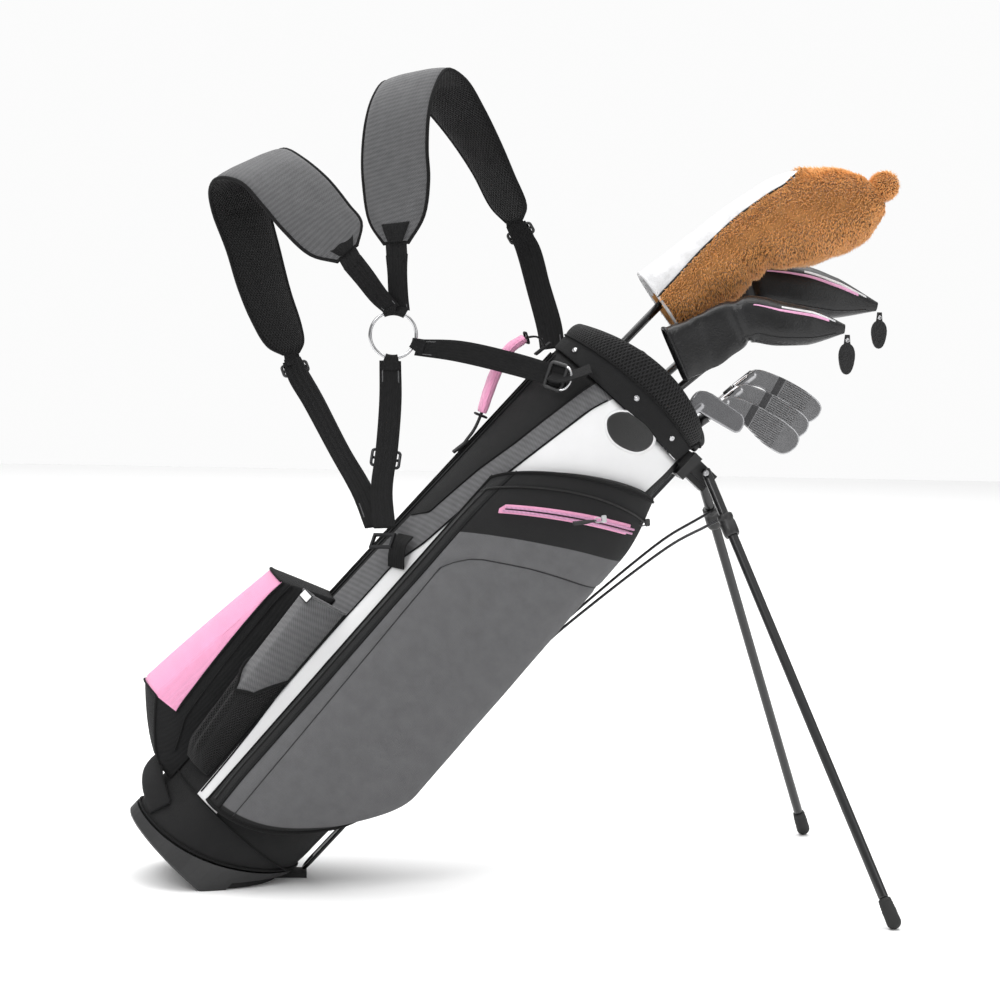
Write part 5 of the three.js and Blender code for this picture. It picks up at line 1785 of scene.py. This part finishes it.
def leg_direction(side):
    flat = math.sin(LEG_SWING)
    return Vector((flat * math.cos(LEG_SPLAY), side * flat * math.sin(LEG_SPLAY), -math.cos(LEG_SWING)))


def leg_point(side, distance):
    return Vector((LEG_PIVOT.x, side * LEG_PIVOT.y, LEG_PIVOT.z)) + leg_direction(side) * distance


def leg_reach():
    height = lambda p: (19 - p.x) * math.sin(LEAN) + p.z * math.cos(LEAN)
    start = height(leg_point(1, 0))
    return (start - 8.0) / (start - height(leg_point(1, 1)))


class GOLF_OT_legs(bpy.types.Operator):
    """Builds the two folding legs with their feet, collars, push wires and rod"""

    bl_idname = "golf.legs"
    bl_label = "Stand Legs"

    ROD_X, ROD_HALF_GAP, ROD_TOP, ROD_MIDDLE, ROD_TURN, ROD_SAG = 98.2, 10, 409.6, 250, 92, 9

    def execute(self, context):
        for word, side in SIDES.items():
            self.leg(word, side)
        x, y, top, middle = self.ROD_X, self.ROD_HALF_GAP, self.ROD_TOP, self.ROD_MIDDLE
        turns = [math.pi + k * math.pi / 8 for k in range(9)]
        bend = [(x, y * math.cos(a), self.ROD_TURN + self.ROD_SAG * math.sin(a)) for a in turns]
        path = [(x, -y, top), (x, -y, middle), *bend, (x, y, middle), (x, y, top)]
        rod = tube("foot_rod", path, 2.0, "black_steel", "runner", 12, 120)
        stands_for(rod, "push_rod")
        for node, bevel in (("leg_bracket", 1.4), ("wire_runner", 1.2)):
            dress(node, "black_plastic")
            rounded(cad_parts[node], bevel, 2)
        dress("spine_stay", "black_steel")
        return {"FINISHED"}

    def leg(self, word, side):
        direction = leg_direction(side)
        space = facing(leg_point(side, 0), direction, (0, 0, 1))
        reach = leg_reach()
        end = reach - 26.4
        profile = [(0.2, -7), (4.6, -7), (5.4, -6), (LEG_RADIUS, -4)]
        profile += [(LEG_RADIUS, lerp(0, end - 2, k / 24)) for k in range(25)] + [(5.0, end), (0.2, end)]
        piece = turned(f"leg_pole_{word}", profile, "leg_enamel", f"leg_{word}", space, 28)
        stands_for(piece, f"leg_tube_{word}")
        dome = [(8 * math.cos(a), reach + 8 * math.sin(a)) for a in [k * math.pi / 20 for k in range(10)]]
        foot = [(0.2, reach - 26), (6.2, reach - 26), (6.8, reach - 25), (7.2, reach - 22),
                (7.0, reach - 20.6),
                (7.5, reach - 19.6), (7.2, reach - 17.6), (7.7, reach - 16.2), (7.4, reach - 14.4),
                (7.9, reach - 12.8), (7.7, reach - 8), *dome, (0.2, reach + 8)]
        piece = turned(f"leg_tip_{word}", foot, "foot_rubber", f"leg_{word}", space, 36)
        stands_for(piece, f"leg_foot_{word}")
        self.collar(word, side, space)
        wire = tube(f"leg_wire_{word}", [(x, side * y, z) for x, y, z in WIRE_ROUTE], 1.6, "black_steel",
                    f"wire_{word}", 12, 60)
        stands_for(wire, f"push_wire_{word}")
        axis = Vector((math.cos(LEG_AXIS), -side * math.sin(LEG_AXIS), 0))
        for shift, end_word in ((-10.2, "outer"), (6.0, "inner")):
            rivet = facing(leg_point(side, 0) + axis * shift, axis if shift > 0 else -axis, (0, 0, 1))
            turned(f"leg_rivet_{word}_{end_word}", [(0.2, -1), (3.6, -1), (3.6, 0.2), (2.6, 1.2), (0.2, 1.5)],
                   "satin_steel", "bag" if shift < 0 else f"leg_{word}", rivet, 18)

    def collar(self, word, side, space):
        centre = leg_point(side, COLLAR_FROM_PIVOT)
        local = space @ Matrix.Translation((0, 0, COLLAR_FROM_PIVOT * MM))
        profile = [(5.8, -13), (8.0, -13), (8.9, -12), (9.0, -8), (8.3, -7), (8.3, -4), (9.0, -3), (9.0, 8),
                   (8.6, 11), (7.8, 13), (6.4, 13), (5.8, 12)]
        piece = turned(f"leg_clamp_{word}", profile, "black_plastic", f"leg_{word}", local, 36)
        wire_end = Vector((WIRE_ROUTE[-1][0], side * WIRE_ROUTE[-1][1], WIRE_ROUTE[-1][2]))
        lug_end = wire_end.lerp(centre, 0.24)
        away = (lug_end - centre).normalized()
        lug = tube(f"leg_clamp_lug_{word}", [centre + away * 7, centre.lerp(lug_end, 0.7), lug_end],
                   lambda t: 3.7 - 0.6 * ease(t * 3 - 2), "black_plastic", f"leg_{word}", 16, 14)
        stands_for(piece, f"leg_collar_{word}")


class GOLF_OT_base(bpy.types.Operator):
    """Finishes the base cup, the tilting foot and the mouth's dividers"""

    bl_idname = "golf.base"
    bl_label = "Base"

    def execute(self, context):
        dress("base_cup", "black_plastic")
        dress("base_foot", "foot_rubber")
        rounded(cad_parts["base_foot"], 1.0, 2)
        dress("club_divider", "black_cloth")
        rounded(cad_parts["club_divider"], 1.6, 3)
        return {"FINISHED"}


# ------------------------------------------------------------------ clubs

CLUBS = {
    "driver": ((-50, 48), (-44, 12), 940), "fairway": ((-50, 2), (19, 58), 880),
    "hybrid": ((-64, -15), (27, -46), 835), "iron_long": ((-30, 22), (76, 25), 800),
    "iron_short": ((-30, -8), (77, 3), 775), "wedge": ((-38, -38), (75, -19), 753),
    "putter": ((-25, -60), (58, -43), 722),
}
WOODS = ("driver", "fairway", "hybrid")
BUTT_HEIGHT = 30.0
GRIP_LENGTH = 235.0


def club_space(name, along=0.0):
    (bx, by), (mx, my), _ = CLUBS[name]
    start = Vector((bx, by, BUTT_HEIGHT))
    axis = (Vector((mx, my, BAG_LENGTH)) - start).normalized()
    turn = Vector((0, 0, 1)).rotation_difference(axis).to_matrix().to_4x4()
    return BAG_SPACE @ Matrix.Translation(start * MM) @ turn @ Matrix.Translation((0, 0, along * MM))


def remeshed(name, node, space, look, voxel, body, smooth):
    """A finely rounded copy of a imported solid, in its own space."""
    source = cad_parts[node]
    mesh = source.data.copy()
    mesh.name = name
    mesh.transform(space.inverted() @ source.matrix_world)
    mesh.materials.clear()
    mesh.materials.append(FINISHES[look])
    piece = bpy.data.objects.new(name, mesh)
    piece.matrix_world = space
    bpy.context.scene.collection.objects.link(piece)
    remesh = piece.modifiers.new("Even skin", "REMESH")
    remesh.mode = "VOXEL"
    remesh.voxel_size = voxel * MM
    relax = piece.modifiers.new("Softened edges", "SMOOTH")
    relax.iterations = smooth
    relax.factor = 0.5
    applied(piece)
    for polygon in piece.data.polygons:
        polygon.use_smooth = True
    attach(piece, body)
    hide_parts(node)
    return piece


class GOLF_OT_clubs(bpy.types.Operator):
    """Builds the grips, shafts and bare heads of the seven clubs"""

    bl_idname = "golf.clubs"
    bl_label = "Clubs"

    def execute(self, context):
        for name, (_, _, length) in CLUBS.items():
            self.handle_end(name)
            self.stick(name, length)
            if name in WOODS:
                dress(f"{name}_head", "head_lacquer")
                continue
            space = club_space(name, length)
            head = f"{name}_head"
            look = "putter_steel" if name == "putter" else "iron_steel"
            remeshed(f"{name}_blade", head, space, look, 0.9, name, 5)
            ferrule = [(4.4, -27), (5.6, -26), (6.0, -16), (6.3, -14.4), (6.2, -14.2), (4.4, -14.2)]
            turned(f"{name}_ferrule", ferrule, "shaft_lacquer", name, space, 28)
        return {"FINISHED"}

    def handle_end(self, name):
        profile = [(0.2, 0), (6, 0), (9, 0.6), (9.8, 2), (10, 5)]
        for k in range(46):
            z = 10 + k * 4.8
            r = lerp(10, 7.6, z / GRIP_LENGTH)
            profile += [(r, z), (r - 0.35, z + 1.4), (r - 0.35, z + 2.0), (r, z + 3.2)]
        profile += [(7.6, GRIP_LENGTH - 1), (7.0, GRIP_LENGTH), (0.2, GRIP_LENGTH)]
        piece = turned(f"{name}_handle", profile, "grip_rubber", name, club_space(name), 24)
        stands_for(piece, f"{name}_grip")

    def stick(self, name, length):
        end = length - 14.4
        start = GRIP_LENGTH - 4
        steel = name not in WOODS
        profile = []
        steps = 16 if steel else 3
        for k in range(steps):
            z0, z1 = lerp(start, end, k / steps), lerp(start, end, (k + 1) / steps)
            r = lerp(5.6, 4.3, (k + 0.5) / steps)
            profile += [(r + (0.08 if steel else 0), z0 + 0.6), (r, z0 + 1.2), (r, z1 - 0.2)]
        profile = [(0.2, start), *profile, (0.2, end)]
        look = "shaft_steel" if steel else "shaft_lacquer"
        piece = turned(f"{name}_rod", profile, look, name, club_space(name), 28)
        stands_for(piece, f"{name}_shaft")


# ------------------------------------------------------------------ head covers

COVERS = {
    "driver": (2,
               [(-46, 816, 41, 28), (-38, 855, 42, 31), (-31, 900, 42, 32), (-20, 945, 45, 36),
                (0, 990, 52, 40),
                   (24, 1026, 48, 39), (46, 1054, 36, 30), (60, 1072, 12, 12)]),
    "fairway": (76,
                [(4, 842, 25, 20), (16, 880, 24, 22), (34, 918, 28, 25), (68, 945, 29, 27),
                 (104, 966, 24, 24),
                     (148, 994, 5, 6)]),
    "hybrid": (-56,
               [(-1, 782, 31, 18), (14, 818, 29, 20), (32, 866, 26, 22), (58, 885, 25, 24), (86, 907, 21, 21),
                     (117, 932, 5, 6)]),
}


class Sock:
    """A closed sleeve through the stations of a cover."""

    def __init__(self, name, power=2.0):
        self.y, stations = COVERS[name]
        self.centre = spline([(x, 0, z) for x, z, _, _ in stations])
        self.size = spline([(half, depth, 0) for _, _, half, depth in stations])
        self.power = power

    def frame(self, t):
        low, high = max(0.0, t - SLOPE_STEP), min(1.0, t + SLOPE_STEP)
        tangent = (self.centre(high) - self.centre(low)).normalized()
        return self.centre(t), tangent, Vector((tangent.z, 0, -tangent.x))

    def at(self, turn, t, out=0.0, shrink=1.0):
        """turn is radians: 0 is the leg side, -pi/2 faces near."""
        middle, _, across = self.frame(t)
        size = self.size(t)
        c, s = math.cos(turn), math.sin(turn)
        power = self.power(t) if callable(self.power) else self.power
        c = math.copysign(abs(c) ** (2 / power), c)
        s = math.copysign(abs(s) ** (2 / power), s)
        half, depth = size.x * shrink + out, size.y * shrink + out
        return middle + across * half * c + Vector((0, self.y + depth * s, 0))


def sleeve_piece(name, sock, looks, body, rows, columns, out, pick=None):
    """The sleeve with its mouth turned in and its tip closed."""
    verts, uv = [], []
    inside = [(0.1, 0.6), (0.05, 0.72), (0.012, 0.86), (0.0, 0.95)]
    levels = [(t, s, False) for t, s in inside] + [(i / (rows - 1), 1.0, True) for i in range(rows)]
    travelled, before = 0.0, None
    for t, shrink, shown in levels:
        middle = sock.centre(t)
        travelled += (middle - before).length if before is not None else 0
        before = middle
        for j in range(columns):
            turn = 2 * math.pi * j / columns
            push = out(turn, t) if shown else 0.0
            verts.append(sock.at(turn, t, push, shrink))
            uv.append((turn * 0.03, travelled * MM))
    count = len(levels)
    faces = grid_faces(count, columns, wrap_columns=True)
    picks = None
    if pick:
        picks = []
        for index in range(len(faces)):
            t = levels[index // columns][0]
            picks.append(pick(2 * math.pi * (index % columns + 0.5) / columns, t))
        picks += [0, 0]
    faces.append(tuple(reversed(range(columns))))
    faces.append(tuple(range((count - 1) * columns, count * columns)))
    return new_piece(name, verts, faces, looks, body, BAG_SPACE, uv, picks)


KNOB_CENTRE = Vector((48, 2, 1086))
KNOB_RADIUS = 13.0
KNOB_SHARE = 0.05
PANEL_WIDTH = table([(0.0, 1.4), (0.2, 1.12), (0.42, 0.86), (0.56, 0.74), (0.61, 0.4), (0.64, -0.2),
                     (1.0, -0.6)])


class GOLF_OT_driver_cover(bpy.types.Operator):
    """Builds the plush driver cover with its smooth panel"""

    bl_idname = "golf.driver_cover"
    bl_label = "Plush Cover"

    FIBRES = 26000
    THIRD_TURN = 2.094

    def execute(self, context):
        sock = Sock("driver", 2.3)
        body = sleeve_piece("driver_sock", sock, ["plush_fibre", "white_leather"], "driver", 90, 96,
                            self.bumps, lambda turn, t: 1 if self.panel(turn, t) < 0 else 0)
        self.shade_under_pile(body)
        stands_for(body, "driver_cover")
        self.trim(sock)
        self.knob()
        self.pile(sock)
        return {"FINISHED"}

    def panel(self, turn, t):
        """Below 0 on the smooth panel; grows with the distance from its edge."""
        away = math.pi - abs((turn + math.pi) % (2 * math.pi) - math.pi)
        return away - PANEL_WIDTH(t)

    def bumps(self, turn, t):
        under = 0.35 + 0.65 * ease(math.cos(turn - 0.3) + 0.4)
        waist = -7.0 * math.exp(-(((t - 0.42) / 0.035) ** 2)) - 3.5 * math.exp(-(((t - 0.34) / 0.012) ** 2))
        fold = 1.6 * math.sin(t * 34 + 1.5 * math.sin(turn * 2)) * ease(1.3 - t)
        fold += 1.3 * math.sin(turn * 5 + t * 9)
        swell = 3.5 * math.sin(math.pi * clamp(t / 0.4)) + 3.0 * math.sin(math.pi * clamp((t - 0.42) / 0.5))
        smooth = ease(self.panel(turn, t) * 3)
        return (fold + (waist + swell) * under) * smooth - 4.0 * smooth

    def knob(self):
        """The plush ball sewn to the toe end."""
        space = facing(KNOB_CENTRE, (0.6, 0, 0.8), (0, 1, 0))
        ball = [(KNOB_RADIUS * math.cos(a) * (1 + 0.05 * math.sin(5 * a)) + 0.01, KNOB_RADIUS * math.sin(a))
                for a in [lerp(-math.pi / 2, math.pi / 2, k / 20) for k in range(21)]]
        piece = turned("driver_knob", ball, "plush_fibre", "driver", space, 28)
        self.shade_under_pile(piece)

    def shade_under_pile(self, piece):
        """Painted shade: the cloth under the fibres gets the colour a quarter of the way from the dark fibre
        roots to the tips.
        """
        for value in piece.data.attributes.new("pile_shade", "FLOAT", "POINT").data:
            value.value = 0.25

    def trim(self, sock):
        for side, word in ((1, "near"), (-1, "far")):
            places = sampled(lambda t: lerp(0.0, 0.63, t), 39)
            path = [sock.at(math.pi + side * max(0.0, PANEL_WIDTH(t)), t, 0.4) for t in places]
            corded(f"driver_trim_{word}", path, 1.1, "black_leather", 110, "driver")
        ring = [sock.at(2 * math.pi * k / 48, 0.004, -0.4) for k in range(48)]
        tube("driver_sock_hem", ring, 1.8, "white_leather", "driver", 8, None, closed=True)

    def roots(self, sock, dice):
        """Endless places on the plush as (root, outward, along)."""
        while True:
            if dice.random() < KNOB_SHARE:
                out = Vector([dice.gauss(0, 1) for _ in range(3)]).normalized()
                yield KNOB_CENTRE + out * (KNOB_RADIUS - 1.0), out, Vector((0.6, 0, 0.8))
                continue
            t, turn = dice.random(), dice.random() * 2 * math.pi
            size = sock.size(t)
            if dice.random() > (size.x + size.y) / 95 or self.panel(turn, t) < 0.03:
                continue
            base_out = self.bumps(turn, t)
            root = sock.at(turn, t, base_out - 0.6)
            yield root, (sock.at(turn, t, base_out + 8) - root).normalized(), sock.frame(t)[1]

    def pile(self, sock):
        dice = random.Random(RANDOM_SEED)
        length = sizes().pile / MM
        verts, faces, pile_shades = [], [], []
        places = self.roots(sock, dice)
        for _ in range(self.FIBRES):
            root, out, along = next(places)
            clump = math.sin(root.x * 0.31) + math.sin(root.z * 0.27 + root.x * 0.13)
            clump += math.sin(root.y * 0.35)
            droop = Vector((0.25, 0.1 * clump, -0.45 + 0.15 * clump))
            lean = along * -0.35 + droop + Vector([dice.uniform(-0.4, 0.4) for _ in range(3)])
            reach = length * dice.uniform(0.6, 1.0)
            way = (out + lean * 0.8).normalized()
            side = out.cross(along).normalized()
            other = way.cross(side).normalized()
            r = dice.uniform(0.45, 0.75)
            mid = root + (out * 0.7 + way * 0.3).normalized() * reach * 0.5
            tip = mid + (way + lean * 0.35).normalized() * reach * 0.5
            base = len(verts)
            # Values run from 0 at each fibre's root to 1 at its tip and drive the painted shade toward the
            # roots.
            for level, (centre, scale) in enumerate(((root, 1.0), (mid, 0.8))):
                for k in range(3):
                    a = self.THIRD_TURN * k
                    verts.append(centre + (side * math.cos(a) + other * math.sin(a)) * r * scale)
                    pile_shades.append(0.0 if level == 0 else 0.6)
            verts.append(tip)
            pile_shades.append(1.0)
            for k in range(3):
                m = (k + 1) % 3
                faces.append((base + k, base + m, base + 3 + m, base + 3 + k))
                faces.append((base + 3 + k, base + 3 + m, base + 6))
            faces.append((base + 2, base + 1, base))
        piece = bpy.data.objects.new("driver_pile", bpy.data.meshes.new("driver_pile"))
        mesh = piece.data
        mesh.from_pydata([v * MM for v in verts], [], faces)
        mesh.materials.append(FINISHES["plush_fibre"])
        store = mesh.attributes.new("pile_shade", "FLOAT", "POINT")
        store.data.foreach_set("value", pile_shades)
        for polygon in mesh.polygons:
            polygon.use_smooth = True
        piece.matrix_world = BAG_SPACE
        bpy.context.scene.collection.objects.link(piece)
        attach(piece, "driver")


class GOLF_OT_leather_covers(bpy.types.Operator):
    """Builds the two leather covers with their stripes and tags"""

    bl_idname = "golf.leather_covers"
    bl_label = "Leather Covers"

    def execute(self, context):
        for name in ("fairway", "hybrid"):
            self.cover(name)
        return {"FINISHED"}

    def cover(self, name):
        sock = Sock(name, lambda t: lerp(5.0, 2.5, ease((t - 0.2) * 3.5)))

        def out(turn, t):
            neck = ease(1 - abs(t - 0.2) * 4.5)
            pleats = 0.5 * math.sin(t * 60 + 3 * math.sin(turn + 1)) + 1.1 * math.sin(turn * 3 + t * 14)
            crease = neck * pleats
            gather = -3.6 * math.exp(-(((t - 0.37 - 0.03 * math.sin(turn)) / 0.022) ** 2))
            panel = 0.6 * math.sin(turn * 2 + 0.5) * math.sin(t * 7)
            seam = -0.9 * math.exp(-((math.sin(turn) / 0.05) ** 2)) * ease(t * 5 - 1.5)
            return crease + gather + panel + seam

        piece = sleeve_piece(f"{name}_sleeve", sock, "black_leather", name, 110, 72, out)
        stands_for(piece, f"{name}_cover")
        ring = [sock.at(2 * math.pi * k / 48, 0.005, 0.4) for k in range(48)]
        tube(f"{name}_hem", ring, 1.7, "black_leather", name, 8, None, closed=True)
        for shift, look, word, proud in ((0.2, "white_leather", "white", 0.4),
                                         (0.02, "pink_leather", "pink", 0.5)):
            rows, columns = 60, 5

            def place(a, b):
                start = 0.42 if word == "pink" else 0.6
                width = (0.05 + 0.16 * b) if word == "pink" else 0.12 + 0.1 * b
                turn = -math.pi * 0.66 - shift * 1.2 + (a - 0.5) * width
                t = lerp(start, 0.9 if word == "pink" else 0.94, b)
                return sock.at(turn, t, out(turn, t) + proud)

            stripe = sheet_grid(f"{name}_stripe_{word}", rows, columns, place, look, name)
            solidified(stripe, 0.9)
        for turn, word in ((-math.pi / 2 + 0.55, "near"), (math.pi * 0.62, "far")):
            places = sampled(lambda t: lerp(0.3, 0.95, t), 30)
            path = [sock.at(turn, t, out(turn, t) + 0.2) for t in places]
            corded(f"{name}_seam_{word}", path, 0.8, "black_leather", 90, name)
        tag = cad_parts[f"{name}_tag"]
        dress(f"{name}_tag", "black_leather")
        rounded(tag, 0.9, 3)
        low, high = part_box(f"{name}_tag")
        middle = (low + high) / 2
        top = BAG_SPACE.inverted() @ Vector((middle.x, middle.y, high.z - 0.006)) / MM
        space = facing(top, (0, -1, 0), (-0.67, 0, 0.74))
        for face in (1, -1):
            turned(f"{name}_eyelet_{'near' if face > 0 else 'far'}",
                   [(1.2, 1.1 * face), (2.5, 1.1 * face), (2.5, 1.9 * face), (1.9, 2.2 * face),
                    (1.2, 1.9 * face)],
                   "bright_steel", f"{name}_tag", space, 20)


# ------------------------------------------------------------------ stage


class GOLF_OT_stage(bpy.types.Operator):
    """Sets up the camera, the pale floor and the soft lights"""

    bl_idname = "golf.stage"
    bl_label = "Stage"

    CAMERA_PLACE = (0.04368691, -2.98952709, 0.65205952)
    AZIMUTH, DIP, ROLL = math.radians(4.672), math.radians(4.31), math.radians(1.349)
    LENS = 96.89

    def execute(self, context):
        look = Vector((math.sin(self.AZIMUTH) * math.cos(self.DIP),
                       math.cos(self.AZIMUTH) * math.cos(self.DIP),
                       -math.sin(self.DIP)))
        right = Vector((math.cos(self.AZIMUTH), -math.sin(self.AZIMUTH), 0))
        up = right.cross(look)
        c, s = math.cos(self.ROLL), math.sin(self.ROLL)
        axes = Matrix((c * right + s * up, -s * right + c * up, -look)).transposed().to_4x4()
        lens = bpy.data.cameras.new("Camera")
        lens.lens = self.LENS
        lens.sensor_width = 36.0
        camera = bpy.data.objects.new("Camera", lens)
        camera.matrix_world = Matrix.Translation(self.CAMERA_PLACE) @ axes
        context.scene.collection.objects.link(camera)
        context.scene.camera = camera
        self.floor(context)
        self.light("overhead", (0.2, 1.6, 4.6), (0.2, 1.2, 0), 7.0, 330)
        self.light("key", (-1.1, -1.5, 2.0), (0.1, 0, 0.45), 1.2, 24)
        self.light("fill", (2.0, -1.6, 0.9), (0.2, 0, 0.4), 1.6, 9)
        world = bpy.data.worlds.new("Studio")
        world.use_nodes = True
        self.sky(Graph(world.node_tree))
        context.scene.world = world
        context.scene.view_settings.view_transform = "Standard"
        return {"FINISHED"}

    def sky(self, g):
        """White to the camera; darker bands for what the metal and the lacquer reflect."""
        z = g.split(g.node("ShaderNodeTexCoord").outputs["Generated"])[2]
        high = g.ramp(z, 0.1, 0.75)
        band = g.sine(g.times(z, 11.0))
        level = g.plus(g.math("MULTIPLY_ADD", high, 0.55, 0.28), g.times(band, 0.14))
        seen = g.node("ShaderNodeLightPath").outputs["Is Camera Ray"]
        background = g.tree.nodes["Background"]
        background.inputs["Color"].default_value = (1.0, 1.0, 1.0, 1.0)
        g.feed(background.inputs["Strength"], g.blend(seen, level, 0.97))

    def floor(self, context):
        verts = [(-6, -5, 0), (6, -5, 0), (-6, 7, 0), (6, 7, 0)]
        mesh = bpy.data.meshes.new("floor")
        mesh.from_pydata(verts, [], [(0, 1, 3, 2)])
        mesh.materials.append(FINISHES["floor_paper"])
        floor = bpy.data.objects.new("floor", mesh)
        context.scene.collection.objects.link(floor)

    def light(self, name, place, target, size, power):
        lamp = bpy.data.lights.new(name, "AREA")
        lamp.shape = "DISK"
        lamp.size = size
        lamp.energy = power
        piece = bpy.data.objects.new(name, lamp)
        piece.location = place
        piece.rotation_euler = (Vector(target) - Vector(place)).to_track_quat("-Z", "Y").to_euler()
        bpy.context.scene.collection.objects.link(piece)


OPERATORS = (
    GOLF_OT_finishes, GOLF_OT_stage, GOLF_OT_shell, GOLF_OT_cuff, GOLF_OT_big_pocket, GOLF_OT_small_pockets,
    GOLF_OT_handle, GOLF_OT_pads, GOLF_OT_webbing, GOLF_OT_legs, GOLF_OT_base, GOLF_OT_clubs,
    GOLF_OT_driver_cover,
    GOLF_OT_leather_covers,
)


class GOLF_PT_set(bpy.types.Panel):
    """Lists the golf set's colours, sizes and pieces"""

    bl_idname = "GOLF_PT_set"
    bl_label = "Junior Golf Set"
    bl_space_type = "VIEW_3D"
    bl_region_type = "UI"
    bl_category = "Golf Set"

    def draw(self, context):
        for settings in (context.scene.golf_set_colours, context.scene.golf_set_sizes):
            for key in settings.__annotations__:
                self.layout.prop(settings, key)
        for operator in OPERATORS:
            self.layout.operator(operator.bl_idname)


CLASSES = (GolfSetColours, GolfSetSizes, *OPERATORS, GOLF_PT_set)


def register():
    for entry in CLASSES:
        bpy.utils.register_class(entry)
    bpy.types.Scene.golf_set_colours = bpy.props.PointerProperty(type=GolfSetColours)
    bpy.types.Scene.golf_set_sizes = bpy.props.PointerProperty(type=GolfSetSizes)


def unregister():
    del bpy.types.Scene.golf_set_sizes
    del bpy.types.Scene.golf_set_colours
    for entry in reversed(CLASSES):
        bpy.utils.unregister_class(entry)


def main():
    register()
    for operator in OPERATORS:
        group, word = operator.bl_idname.split(".")
        getattr(getattr(bpy.ops, group), word)()


if __name__ == "__main__":
    main()
